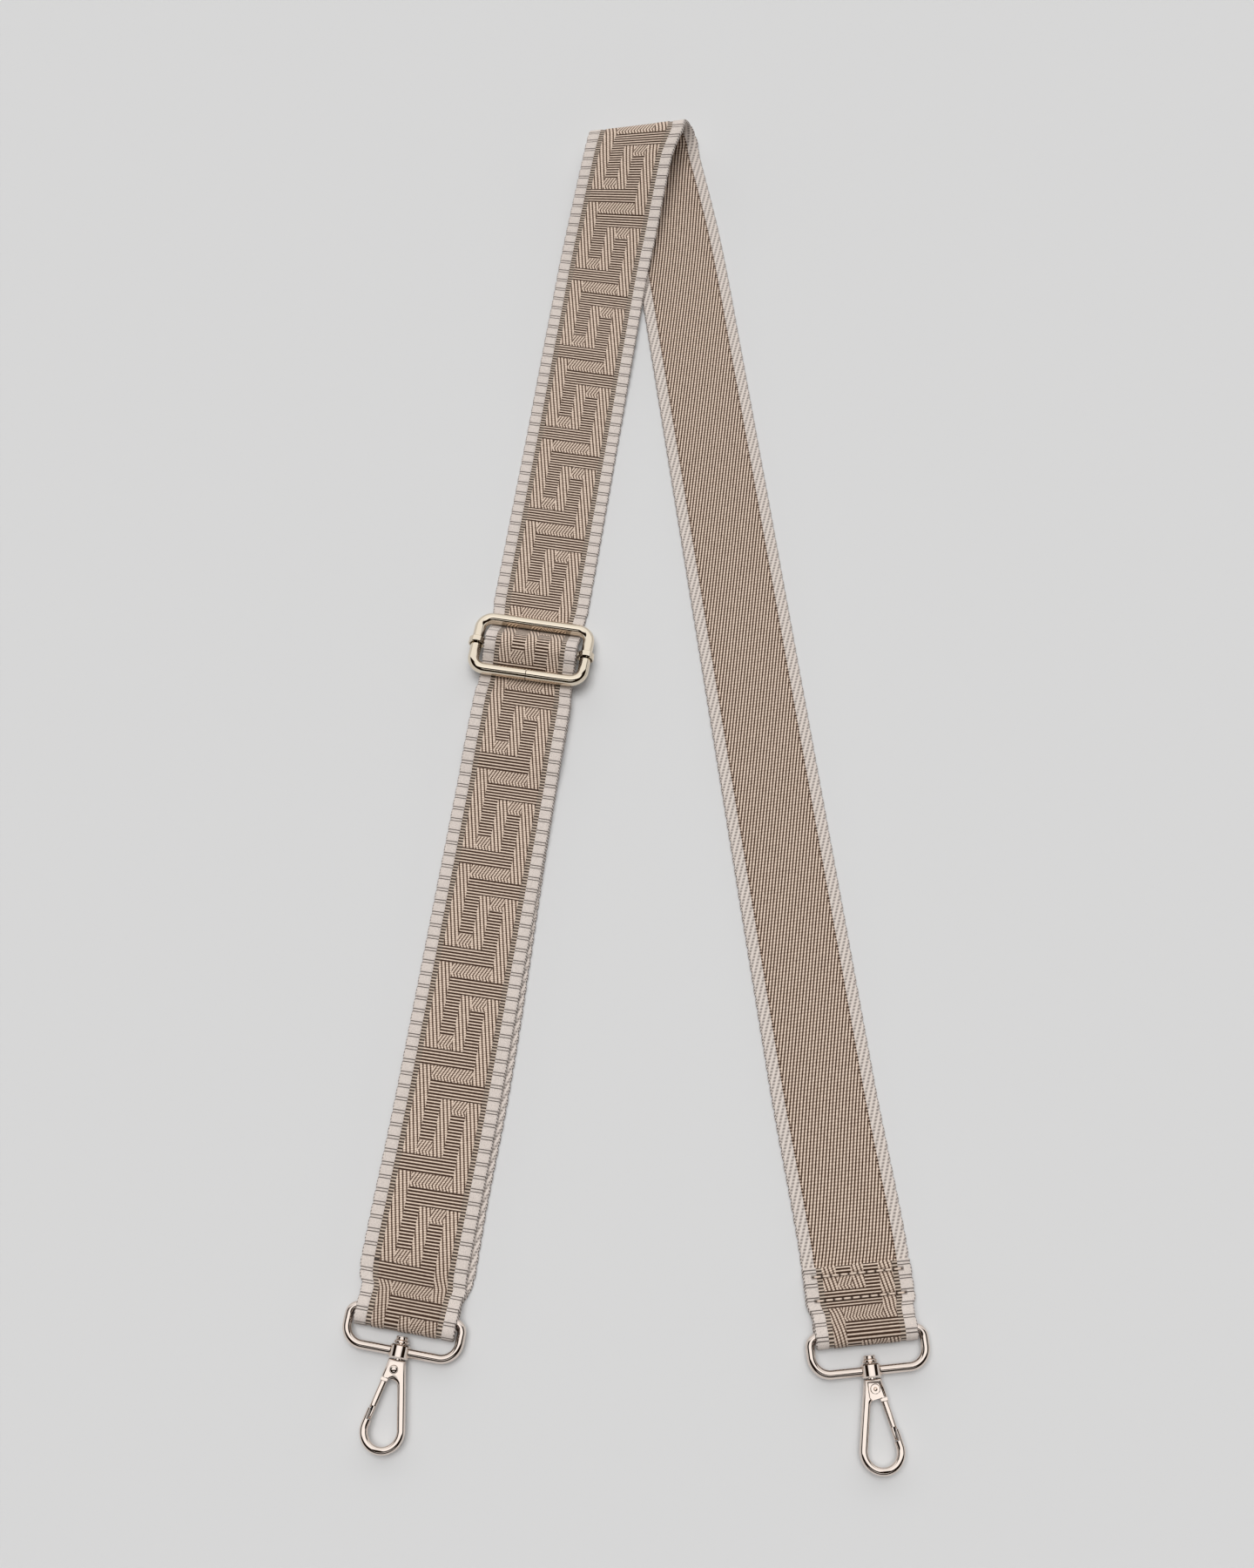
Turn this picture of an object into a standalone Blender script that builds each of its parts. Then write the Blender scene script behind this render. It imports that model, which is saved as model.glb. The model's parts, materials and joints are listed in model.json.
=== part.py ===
"""Detachable bag strap, folded flat on a table.

One length of woven webbing, doubled through a sliding adjuster on its left leg, ends in a wire ring with
a swivel snap hook on each side. Each leg is drawn in a frame of its own: x across the webbing, y up the
leg towards the top fold, z up from the table. Both frames start where the two centre lines would cross.
"""

import math

import bmesh
import bpy
from mathutils import Matrix, Vector

# Webbing
WEB_WIDTH = 0.0378
WEB_THICKNESS = 0.0016
WEB_SLIDER_WIDTH = 0.0362
WEB_RING_WIDTH = 0.0352
FIT_GAP = 0.0003

# Legs, measured down from the point where their centre lines would cross
LEFT_LEAN_DEGREES = 8.73
RIGHT_LEAN_DEGREES = 7.65
LEFT_LEG_LENGTH = 0.5537
RIGHT_LEG_LENGTH = 0.5562
LEFT_END_TURN_DEGREES = -1.5
RIGHT_END_TURN_DEGREES = -2.0
SLIDER_DISTANCE = 0.2970
END_BEND_LENGTH = 0.060
CLIMB_LENGTH = 0.050
LAYER_STEP_LENGTH = 0.014
RETURN_SIDE_BOW = 0.0022
RETURN_BOW_LEAN = 1.5
LEFT_END_SPREAD = 0.0012

# Top fold: its reach down each leg, the height of its open loop and how far its nose bulges
FOLD_REACH = 0.150
FOLD_LOOP_HEIGHT = 0.0170
FOLD_NOSE_LEFT = 0.0056
FOLD_NOSE_RIGHT = 0.0092

# Stations of the fold as shares: down the leg in FOLD_REACH, across in half WEB_WIDTH, rise in
# FOLD_LOOP_HEIGHT, for the left edge and then for the right edge
FOLD_TOP_SHARES = (
    (1.000, -1.000, 0.159, 1.000, 1.000, 0.159),
    (0.890, -1.000, 0.175, 0.890, 1.000, 0.180),
    (0.787, -1.000, 0.212, 0.780, 1.011, 0.235),
    (0.667, -0.974, 0.318, 0.653, 1.058, 0.400),
    (0.560, -0.937, 0.465, 0.540, 1.090, 0.620),
    (0.453, -0.899, 0.588, 0.427, 1.143, 0.860),
    (0.380, -0.873, 0.618, 0.347, 1.291, 1.000),
)
FOLD_UNDER_SHARES = (
    (0.360, -1.291, 0.047, 0.391, 0.857, 0.053),
    (0.453, -1.185, 0.047, 0.467, 0.894, 0.047),
    (0.560, -1.106, 0.047, 0.567, 0.942, 0.047),
    (0.693, -1.026, 0.047, 0.693, 0.984, 0.047),
    (0.850, -1.000, 0.047, 0.850, 1.000, 0.047),
    (1.000, -1.000, 0.047, 1.000, 1.000, 0.047),
)
FOLD_STEPS_BETWEEN = 3
FOLD_STRIPS = 4

# Webbing round the rings
END_ARM = 0.0160
RIGHT_LAYER_ARM = 0.0290
RIGHT_TAIL_LENGTH = 0.0268
TAIL_LANDING = 0.0115
TAIL_LANDING_RADIUS = 0.0080

# Slider: closed wire frame and a centre bar whose ends curl round the frame's side wires
FRAME_WIDTH = 0.0472
FRAME_HEIGHT = 0.0279
FRAME_WIRE = 0.0044
FRAME_CORNER_RADIUS = 0.0050
FRAME_SEAM = 0.0003
FRAME_GAP = 0.0006
BAR_DIAMETER = 0.0030
EYE_LENGTH = 0.0028
EYE_WALL = 0.0007
SLIDER_ARM = 0.0220
SLIDER_FLAT_ARM = 0.0135
SLIDER_TAIL = 0.0380
TAIL_LAYER_ARM = 0.0420

# Stitches
STITCH_LENGTH = 0.0031
STITCH_BEND = 0.0005
STITCH_DIP = 0.0002
THREAD_DIAMETER = 0.0005
STITCH_ROW_WIDTH = 0.0310
FIRST_ROW_FROM_EDGE = 0.0030
SECOND_ROW_FROM_EDGE = 0.0110
THREAD_SINK = 0.00005
GROOVE_PLAY = 0.0001
GROOVE_WIDTH = 0.0009

# Ring, a wire loop with a boss for the swivel post
RING_WIRE = 0.0031
RING_WIDTH = 0.0423
RING_SPACING = 0.0125
RING_TOP_CORNER = 0.0032
RING_BOTTOM_CORNER = 0.0062
RING_PLAY = 0.0004
LEFT_LOOP_SLACK = 0.0026
RIGHT_LOOP_SLACK = 0.0005
BOSS_DIAMETER = 0.0070
BOSS_LENGTH = 0.0046
BOSS_CHAMFER = 0.0005

# Swivel post
POST_DIAMETER = 0.0024
POST_CAP_DIAMETER = 0.0037
POST_CAP_LENGTH = 0.0014
POST_COLLAR_DIAMETER = 0.0051
POST_COLLAR_LENGTH = 0.0010
POST_CHAMFER = 0.0003

# Snap hook, seen from its front: a tapered eye with the gate along its left flank
HOOK_LENGTH = 0.0309
HOOK_WIDTH = 0.0153
HOOK_TOP_WIDTH = 0.0058
HOOK_THICKNESS = 0.0040
HOOK_WALL = 0.00275
HOOK_ROUNDING = 0.0007
HEAD_LENGTH = 0.0069
HEAD_TOP_WALL = 0.0012
SLOT_WIDTH = 0.0026
SLOT_FAR_SIDE = 0.0015
POCKET_DEPTH = 0.0003
POCKET_RIM = 0.0008

# Gate
GATE_WIDTH = 0.0022
GATE_INSET = 0.00025
GATE_THICKNESS = 0.0021
GATE_ROUNDING = 0.0002
GATE_TOP = 0.0056
GATE_LAP_START = 0.0166
GATE_LAP_END = 0.0202
GATE_TONGUE_WIDTH = 0.0011
GATE_DISC_RADIUS = 0.0015
GATE_DISC_THICKNESS = 0.00075
GATE_FOOT_CUT = 0.0060

# Gate rivet and spring
RIVET_DEPTH = 0.00335
RIVET_SIDE_OFFSET = 0.0004
RIVET_DIAMETER = 0.0014
RIVET_HEAD_DIAMETER = 0.0030
RIVET_DOME_HEIGHT = 0.0006
RIVET_RING_DIAMETER = 0.0034
RIVET_RING_HEIGHT = 0.0004
RIVET_RECESS_DIAMETER = 0.0014
RIVET_RECESS_DEPTH = 0.0003
RIVET_PLAY = 0.0002
SPRING_WIRE = 0.00025
SPRING_RADIUS = 0.00128
SPRING_PITCH = 0.00042
SPRING_TURNS = 2
SPRING_LEG = 0.0007

# Fineness of round shapes
ARC_STEP = math.radians(15)
CORNER_STEPS = 5
OUTLINE_STEPS = 14
TURNED_STEPS = 20
WIRE_RESOLUTION = 3
PLATE_RESOLUTION = 1
THREAD_RESOLUTION = 0
SPRING_RESOLUTION = 1
SPRING_STEPS = 12
CUT_OVERRUN = 0.002

WEB_TAUPE = (0.47, 0.35, 0.25, 1.0)
THREAD_TAUPE = (0.36, 0.26, 0.18, 1.0)
CHAMPAGNE = (0.86, 0.74, 0.60, 1.0)
SPRING_STEEL = (0.55, 0.55, 0.56, 1.0)

HEADING_UP_LEG = 0.0
HEADING_DOWN_LEG = math.pi


def clear_scene():
    for item in list(bpy.data.objects):
        bpy.data.objects.remove(item, do_unlink=True)


def new_collection(name):
    collection = bpy.data.collections.new(name)
    bpy.context.scene.collection.children.link(collection)
    return collection


clear_scene()
STRAP = new_collection("detachable_bag_strap")
CUTTERS = new_collection("cutters")


def material(name, colour, roughness, metallic):
    made = bpy.data.materials.new(name)
    made.use_nodes = True
    shader = made.node_tree.nodes["Principled BSDF"]
    shader.inputs["Base Color"].default_value = colour
    shader.inputs["Roughness"].default_value = roughness
    shader.inputs["Metallic"].default_value = metallic
    return made


def frame(name, matrix, parent=None):
    """An empty that carries the pieces drawn in its own axes."""
    empty = bpy.data.objects.new(name, None)
    STRAP.objects.link(empty)
    empty.parent = parent
    empty.matrix_basis = matrix
    return empty


def add_object(name, data, parent, colour=CHAMPAGNE, roughness=0.2, metallic=1.0):
    item = bpy.data.objects.new(name, data)
    STRAP.objects.link(item)
    item.parent = parent
    data.materials.append(material(name, colour, roughness, metallic))
    return item


def as_cutter(item):
    """Keeps an object as a tool that shapes another one."""
    for owner in list(item.users_collection):
        owner.objects.unlink(item)
    CUTTERS.objects.link(item)
    item.hide_render = True
    item.display_type = "WIRE"
    return item


def boolean(item, tool, operation):
    step = item.modifiers.new(operation.lower(), "BOOLEAN")
    step.object = as_cutter(tool)
    step.operation = operation
    step.solver = "EXACT"


def smooth(item):
    item.data.shade_smooth()
    item.data.set_sharp_from_angle(angle=math.radians(35))


def smoothstep(share):
    share = min(max(share, 0.0), 1.0)
    return share * share * (3.0 - 2.0 * share)


def eased(low, high, share):
    return low + (high - low) * smoothstep(share)


# Meshes from outlines, wires and profiles

def curve_mesh(name, splines, cyclic, radius=0.0, resolution=0, extrude=0.0):
    """Mesh of a curve: a round wire, or where extrude is given a flat plate whose rims have that radius."""
    curve = bpy.data.curves.new(name, "CURVE")
    curve.dimensions = "2D" if extrude else "3D"
    curve.fill_mode = "BOTH" if extrude else "FULL"
    curve.extrude = extrude
    curve.offset = -radius if extrude else 0.0
    curve.bevel_depth = radius
    curve.bevel_resolution = resolution
    curve.use_fill_caps = not cyclic
    for points in splines:
        spline = curve.splines.new("POLY")
        spline.points.add(len(points) - 1)
        for point, place in zip(spline.points, points):
            point.co = (*place, 1.0)
        spline.use_cyclic_u = cyclic
    holder = bpy.data.objects.new(name, curve)
    bpy.context.scene.collection.objects.link(holder)
    mesh = bpy.data.meshes.new_from_object(holder.evaluated_get(bpy.context.evaluated_depsgraph_get()))
    bpy.data.objects.remove(holder, do_unlink=True)
    bpy.data.curves.remove(curve)
    body = bmesh.new()
    body.from_mesh(mesh)
    bmesh.ops.remove_doubles(body, verts=body.verts, dist=GROOVE_PLAY / 10)
    bmesh.ops.recalc_face_normals(body, faces=body.faces)
    body.to_mesh(mesh)
    body.free()
    mesh.materials.clear()
    return mesh


def plate_mesh(name, outlines, thickness, rounding=0.0):
    flat = [[(x, y, 0.0) for x, y in outline] for outline in outlines]
    return curve_mesh(name, flat, True, rounding, PLATE_RESOLUTION, thickness / 2 - rounding)


def wire_mesh(name, points, diameter, cyclic=False, resolution=WIRE_RESOLUTION):
    return curve_mesh(name, [points], cyclic, radius=diameter / 2, resolution=resolution)


def turned_mesh(name, profile, steps=TURNED_STEPS):
    """Mesh turned round z from (radius, height) points that run down the outside from the top."""
    mesh = bpy.data.meshes.new(name)
    edges = [(i, i + 1) for i in range(len(profile) - 1)]
    mesh.from_pydata([(radius, 0.0, height) for radius, height in profile], edges, [])
    holder = bpy.data.objects.new(name, mesh)
    bpy.context.scene.collection.objects.link(holder)
    screw = holder.modifiers.new("turn", "SCREW")
    screw.steps = steps
    screw.render_steps = steps
    screw.use_merge_vertices = True
    screw.merge_threshold = GROOVE_PLAY / 10
    turned = bpy.data.meshes.new_from_object(holder.evaluated_get(bpy.context.evaluated_depsgraph_get()))
    bpy.data.objects.remove(holder, do_unlink=True)
    return turned


def cylinder(name, diameter, length, parent, centre=(0.0, 0.0, 0.0), axis="Z"):
    """A plain round cutter along one axis of its parent."""
    body = bmesh.new()
    turn = {"X": Matrix.Rotation(math.pi / 2, 4, "Y"), "Y": Matrix.Rotation(math.pi / 2, 4, "X"),
            "Z": Matrix.Identity(4)}[axis]
    bmesh.ops.create_cone(body, cap_ends=True, segments=TURNED_STEPS, radius1=diameter / 2,
                          radius2=diameter / 2, depth=length, matrix=Matrix.Translation(centre) @ turn)
    mesh = bpy.data.meshes.new(name)
    body.to_mesh(mesh)
    body.free()
    item = bpy.data.objects.new(name, mesh)
    item.parent = parent
    CUTTERS.objects.link(item)
    return item


def box(name, size, centre, parent):
    body = bmesh.new()
    bmesh.ops.create_cube(body, size=1.0, matrix=Matrix.Translation(centre) @ Matrix.Diagonal((*size, 1.0)))
    mesh = bpy.data.meshes.new(name)
    body.to_mesh(mesh)
    body.free()
    item = bpy.data.objects.new(name, mesh)
    item.parent = parent
    CUTTERS.objects.link(item)
    return item


# Routes of the webbing in the plane along a leg

def heading_between(first, second):
    """Heading of the straight stretch between two round turns, each a centre and a signed radius."""
    (centre_1, radius_1), (centre_2, radius_2) = first, second
    offset = centre_2 - centre_1
    return math.atan2(offset.y, offset.x) - math.asin((radius_2 - radius_1) / offset.length)


def turn_points(centre, radius, arriving, leaving):
    """Points round one turn; a positive radius turns left and a negative one turns right."""
    side = math.copysign(1.0, radius)
    sweep = ((leaving - arriving) * side) % (2 * math.pi) * side
    steps = max(2, math.ceil(abs(sweep) / ARC_STEP))
    headings = [arriving + sweep * i / steps for i in range(steps + 1)]
    return [centre + radius * Vector((math.sin(a), -math.cos(a))) for a in headings]


def belt(start, turns, end, heading_in, heading_out):
    """Route from start to end that goes round each turn in between, as (y, z) points."""
    headings = [heading_in]
    headings += [heading_between(a, b) for a, b in zip(turns, turns[1:])]
    headings.append(heading_out)
    route = [Vector(start)]
    for (centre, radius), arriving, leaving in zip(turns, headings, headings[1:]):
        route += turn_points(centre, radius, arriving, leaving)
    route.append(Vector(end))
    return route


def cross_line(y, z, width):
    return Vector((-width / 2, y, z)), Vector((width / 2, y, z))


def ribbon(name, lines, parent, strips=1):
    """Webbing as a sheet through its cross lines, thickened to both sides."""
    body = bmesh.new()
    rows = []
    for left, right in lines:
        rows.append([body.verts.new(left.lerp(right, i / strips)) for i in range(strips + 1)])
    for near, far in zip(rows, rows[1:]):
        for i in range(strips):
            body.faces.new((near[i], near[i + 1], far[i + 1], far[i]))
    mesh = bpy.data.meshes.new(name)
    body.to_mesh(mesh)
    body.free()
    item = add_object(name, mesh, parent, WEB_TAUPE, 0.85, 0.0)
    shell = item.modifiers.new("thickness", "SOLIDIFY")
    shell.thickness = WEB_THICKNESS
    shell.offset = 0.0
    shell.use_even_offset = True
    return item


# Heights of the layers above the table, at the middle of the webbing's thickness
LAYER_PITCH = WEB_THICKNESS + FIT_GAP
FIRST_LAYER = WEB_THICKNESS / 2
SECOND_LAYER = FIRST_LAYER + LAYER_PITCH
THIRD_LAYER = SECOND_LAYER + LAYER_PITCH

RING_BORE_RADIUS = RING_WIRE / 2 + RING_PLAY
RING_AXIS_HEIGHT = RING_BORE_RADIUS + WEB_THICKNESS
RING_TURN_RADIUS = RING_BORE_RADIUS + WEB_THICKNESS / 2
END_OUTER_RADIUS = RING_BORE_RADIUS + WEB_THICKNESS

FRAME_PITCH = FRAME_HEIGHT - FRAME_WIRE
FRAME_TOP_AXIS = WEB_THICKNESS + FRAME_GAP + FRAME_WIRE / 2
FRAME_BOTTOM_AXIS = FRAME_TOP_AXIS + 2 * LAYER_PITCH
FRAME_TILT = math.asin((FRAME_BOTTOM_AXIS - FRAME_TOP_AXIS) / FRAME_PITCH)
FRAME_HALF_SPAN = FRAME_PITCH / 2 * math.cos(FRAME_TILT)
BAR_AXIS = (FRAME_TOP_AXIS + FRAME_BOTTOM_AXIS) / 2
FRAME_TURN_RADIUS = FRAME_WIRE / 2 + FRAME_GAP + WEB_THICKNESS / 2
BAR_TURN_RADIUS = BAR_DIAMETER / 2 + FIT_GAP + WEB_THICKNESS / 2
BRIDGE_TURN_RADIUS = BAR_TURN_RADIUS + LAYER_PITCH


def leg_frame(name, lean_degrees, parent):
    return frame(name, Matrix.Rotation(math.radians(lean_degrees), 4, "Z"), parent)


def end_matrix(leg_length, slack, turn_degrees):
    """Place of a ring's top bar in its leg's frame, turned with the webbing that holds it."""
    place = Matrix.Translation((0.0, -(leg_length - END_OUTER_RADIUS - slack), RING_AXIS_HEIGHT))
    return place @ Matrix.Rotation(math.radians(turn_degrees), 4, "Z")


def slider_matrix():
    return Matrix.Translation((0.0, -SLIDER_DISTANCE, 0.0))


# Webbing pieces

def ring_route(top_end, bottom_end, slack):
    """Route round a ring's bar, from the under layer to the top layer, with the bar at the origin."""
    drop = RING_AXIS_HEIGHT
    landing = Vector((TAIL_LANDING, SECOND_LAYER + TAIL_LANDING_RADIUS - drop))
    turns = [(Vector((-slack, 0.0)), -RING_TURN_RADIUS), (Vector((0.0, 0.0)), -RING_TURN_RADIUS),
             (landing, TAIL_LANDING_RADIUS)]
    start = (bottom_end, FIRST_LAYER - drop)
    end = (top_end, SECOND_LAYER - drop)
    return belt(start, turns, end, HEADING_DOWN_LEG, HEADING_UP_LEG)


def squeezed_lines(route, full_at, narrow_at, narrow_width):
    """Cross lines of a route whose webbing narrows where it goes through the metal."""
    lines = []
    for y, z in subdivided(route, full_at, narrow_at):
        share = (abs(y) - narrow_at) / (full_at - narrow_at)
        lines.append(cross_line(y, z, eased(narrow_width, WEB_WIDTH, share)))
    return lines


def subdivided(route, full_at, narrow_at):
    """Adds points to the long straight stretches of a route, so that its width can change there."""
    longest = (full_at - narrow_at) / 3
    fine = [route[0]]
    for near, far in zip(route, route[1:]):
        outside = max(abs(near.x), abs(far.x)) > narrow_at
        steps = max(1, math.ceil((far - near).length / longest)) if outside else 1
        fine += [near.lerp(far, i / steps) for i in range(1, steps + 1)]
    return fine


def spread(lines, full_at, none_at):
    """Moves the under layer to the right and the top layer to the left, away from where the webbing turns."""
    turn = min(range(len(lines)), key=lambda i: lines[i][0].y)
    moved = []
    for i, line in enumerate(lines):
        shift = eased(0.0, LEFT_END_SPREAD, (abs(line[0].y) - none_at) / (full_at - none_at))
        side = Vector((shift if i < turn else -shift, 0.0, 0.0))
        moved.append(tuple(point + side for point in line))
    return moved


def make_left_end(end):
    route = ring_route(END_ARM, END_ARM, LEFT_LOOP_SLACK)
    lines = squeezed_lines(route, END_ARM, RING_SPACING / 2, WEB_RING_WIDTH)
    return ribbon("web_left_end", spread(lines, END_ARM, RING_SPACING / 2), end)


def make_right_end(end):
    tail_end = RIGHT_TAIL_LENGTH - END_OUTER_RADIUS - RIGHT_LOOP_SLACK
    route = ring_route(tail_end, RIGHT_LAYER_ARM, RIGHT_LOOP_SLACK)
    lines = squeezed_lines(route, END_ARM, RING_SPACING / 2, WEB_RING_WIDTH)
    piece = ribbon("web_right_end", lines, end)
    rows = [tail_end - FIRST_ROW_FROM_EDGE, tail_end - SECOND_ROW_FROM_EDGE]
    top = SECOND_LAYER + WEB_THICKNESS / 2 - RING_AXIS_HEIGHT
    stitch(piece, "right_end_stitch", rows, top, -RING_AXIS_HEIGHT, end)
    return piece


def slider_turns(bar_radius, wire_radius):
    """The slider's bottom bar and centre bar as turns of a layer of webbing."""
    bottom_bar = (Vector((-FRAME_HALF_SPAN, FRAME_BOTTOM_AXIS)), wire_radius)
    centre_bar = (Vector((0.0, BAR_AXIS)), bar_radius)
    return bottom_bar, centre_bar


def make_slider_bridge(slider):
    """The front layer over the centre bar, held down by the frame's two long bars."""
    bottom, centre = slider_turns(BRIDGE_TURN_RADIUS, -FRAME_TURN_RADIUS)
    top = (Vector((FRAME_HALF_SPAN, FRAME_TOP_AXIS)), -FRAME_TURN_RADIUS)
    start, end = (SLIDER_ARM, FIRST_LAYER), (-SLIDER_ARM, THIRD_LAYER)
    route = belt(start, [top, centre, bottom], end, HEADING_DOWN_LEG, HEADING_DOWN_LEG)
    lines = squeezed_lines(route, SLIDER_ARM, SLIDER_FLAT_ARM, WEB_SLIDER_WIDTH)
    return ribbon("web_slider_bridge", lines, slider)


def make_slider_tail_loop(slider):
    """The webbing's end: up from the return layer, round the centre bar and back under to be sewn."""
    over_bottom, round_bar = slider_turns(-BAR_TURN_RADIUS, FRAME_TURN_RADIUS + LAYER_PITCH)
    under_bottom = (over_bottom[0], -(FRAME_TURN_RADIUS + 2 * LAYER_PITCH))
    start, end = (-TAIL_LAYER_ARM, SECOND_LAYER), (-SLIDER_TAIL, FIRST_LAYER)
    route = belt(start, [over_bottom, round_bar, under_bottom], end, HEADING_UP_LEG, HEADING_DOWN_LEG)
    lines = squeezed_lines(route, SLIDER_ARM, SLIDER_FLAT_ARM, WEB_SLIDER_WIDTH)
    piece = ribbon("web_slider_tail_loop", lines, slider)
    rows = [FIRST_ROW_FROM_EDGE - SLIDER_TAIL, SECOND_ROW_FROM_EDGE - SLIDER_TAIL]
    stitch(piece, "slider_stitch", rows, SECOND_LAYER + WEB_THICKNESS / 2, 0.0, slider)
    return piece


def thread_path(y, high, low):
    """One thread along a row: it lies high in each stitch and dips where the needle went in."""
    count = round(STITCH_ROW_WIDTH / STITCH_LENGTH)
    points = []
    for i in range(count):
        left = (i - count / 2) * STITCH_LENGTH
        right = left + STITCH_LENGTH
        points += [(left, y, low), (left + STITCH_BEND, y, high), (right - STITCH_BEND, y, high)]
    return points + [(count / 2 * STITCH_LENGTH, y, low)]


def stitch(piece, name, rows, top, bottom, parent):
    """Rows of stitches with a thread sunk in a shallow groove of each of the seam's two faces."""
    high = THREAD_SINK + THREAD_DIAMETER / 2
    low = high + STITCH_DIP
    cut = low + THREAD_DIAMETER / 2 + GROOVE_PLAY
    length = STITCH_ROW_WIDTH + 2 * (THREAD_DIAMETER + GROOVE_PLAY)
    for number, y in enumerate(rows, 1):
        for side, face, inward in (("top", top, -1.0), ("under", bottom, 1.0)):
            row_name = f"{name}_row_{number}_{side}"
            size = (length, GROOVE_WIDTH, cut + CUT_OVERRUN)
            centre = (0.0, y, face + inward * (cut - CUT_OVERRUN) / 2)
            boolean(piece, box(row_name + "_groove", size, centre, parent), "DIFFERENCE")
            path = thread_path(y, face + inward * high, face + inward * low)
            mesh = wire_mesh(row_name, path, THREAD_DIAMETER, resolution=THREAD_RESOLUTION)
            add_object(row_name, mesh, parent, THREAD_TAUPE, 0.8, 0.0)


def turned_towards(lines, end_line):
    """Turns a run's last cross lines little by little until they meet the piece round the ring."""
    meeting = (end_line[0] + end_line[1]) / 2
    turned = []
    for line in lines:
        middle = (line[0] + line[1]) / 2
        share = smoothstep(1.0 - (middle.y - meeting.y) / END_BEND_LENGTH)
        shift = Vector((0.0, middle.y - meeting.y, middle.z - meeting.z))
        turned.append(tuple(p.lerp(q + shift, share) for p, q in zip(line, end_line)))
    return turned


def run_places(start, steps_at, end):
    """Places along a run: its two ends, and several within each stretch where it changes."""
    places = [start]
    for near, far, count in steps_at:
        places += [near + (far - near) * i / count for i in range(count + 1)]
    places.append(end)
    return places


def end_line_of(matrix, arm, height, side=0.0):
    """Where a run meets the webbing round a ring, in the leg's frame."""
    line = cross_line(arm + FIT_GAP, height - RING_AXIS_HEIGHT, WEB_WIDTH)
    return tuple(matrix @ (point + Vector((side, 0.0, 0.0))) for point in line)


def make_upper_run(leg):
    start = FIT_GAP + SLIDER_ARM - SLIDER_DISTANCE
    end = -(FOLD_REACH + FIT_GAP)
    foot = end - CLIMB_LENGTH
    start_height = FOLD_TOP_SHARES[0][2] * FOLD_LOOP_HEIGHT
    lines = []
    for y in run_places(start, [(foot, end, 8)], end)[:-1]:
        height = eased(FIRST_LAYER, start_height, (y - foot) / CLIMB_LENGTH)
        lines.append(cross_line(y, height, WEB_WIDTH))
    return ribbon("web_left_upper_run", lines, leg)


def stepped_run(name, leg, matrix, start, step_from, high, low, bow, end_side):
    """A lower layer of the left leg: flat, one step down behind the sewn tail, then on to the ring."""
    end_line = end_line_of(matrix, END_ARM, low, end_side)
    end = (end_line[0].y + end_line[1].y) / 2
    step_to = step_from - LAYER_STEP_LENGTH
    bend_from = end + END_BEND_LENGTH
    places = run_places(start, [(step_from, step_to, 5), (step_to, bend_from, 8), (bend_from, end, 8)], end)
    lines = []
    for y in dict.fromkeys(places):
        height = eased(high, low, (step_from - y) / LAYER_STEP_LENGTH)
        share = min(max((step_to - y) / (step_to - end), 0.0), 1.0)
        side = Vector((bow * math.sin(math.pi * share ** RETURN_BOW_LEAN), 0.0, 0.0))
        lines.append(tuple(point + side for point in cross_line(y, height, WEB_WIDTH)))
    return ribbon(name, turned_towards(lines, end_line), leg)


def make_front_run(leg, matrix):
    start = -(SLIDER_DISTANCE + SLIDER_ARM + FIT_GAP)
    step_from = -(SLIDER_DISTANCE + TAIL_LAYER_ARM)
    return stepped_run("web_left_front_run", leg, matrix, start, step_from, THIRD_LAYER, SECOND_LAYER, 0.0,
                       -LEFT_END_SPREAD)


def make_return_run(leg, matrix):
    start = -(SLIDER_DISTANCE + TAIL_LAYER_ARM + FIT_GAP)
    return stepped_run("web_left_return_run", leg, matrix, start, start, SECOND_LAYER, FIRST_LAYER,
                       RETURN_SIDE_BOW, LEFT_END_SPREAD)


def make_right_run(leg, matrix):
    start = -(FOLD_REACH + FIT_GAP)
    end_line = end_line_of(matrix, RIGHT_LAYER_ARM, FIRST_LAYER)
    end = (end_line[0].y + end_line[1].y) / 2
    places = run_places(start, [(end + END_BEND_LENGTH, end, 8)], end)[:-1]
    lines = [cross_line(y, FIRST_LAYER, WEB_WIDTH) for y in places]
    return ribbon("web_right_run", turned_towards(lines, end_line), leg)


def fold_edge(shares, offset, matrix):
    """One edge of the fold through its stations on one leg, in the frame of the whole strap."""
    return [matrix @ Vector((row[offset + 1] * WEB_WIDTH / 2, -row[offset] * FOLD_REACH,
                             row[offset + 2] * FOLD_LOOP_HEIGHT)) for row in shares]


def nose_points(top, under, bulge):
    """Half an ellipse from the top of the loop to its underside, bulging away from the legs."""
    middle = (top + under) / 2
    reach = (top - under) / 2
    angles = [math.pi * i / 4 for i in range(1, 4)]
    return [middle + reach * math.cos(a) + Vector((0.0, bulge * math.sin(a), 0.0)) for a in angles]


def smooth_curve(stations, steps):
    """A smooth curve through the stations, with even steps between each two of them."""
    padded = [2 * stations[0] - stations[1]] + stations + [2 * stations[-1] - stations[-2]]
    points = []
    for before, near, far, after in zip(padded, padded[1:], padded[2:], padded[3:]):
        for i in range(steps):
            t = i / steps
            points.append(0.5 * (2 * near + (far - before) * t
                                 + (2 * before - 5 * near + 4 * far - after) * t * t
                                 + (3 * near - before - 3 * far + after) * t * t * t))
    return points + [stations[-1]]


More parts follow.
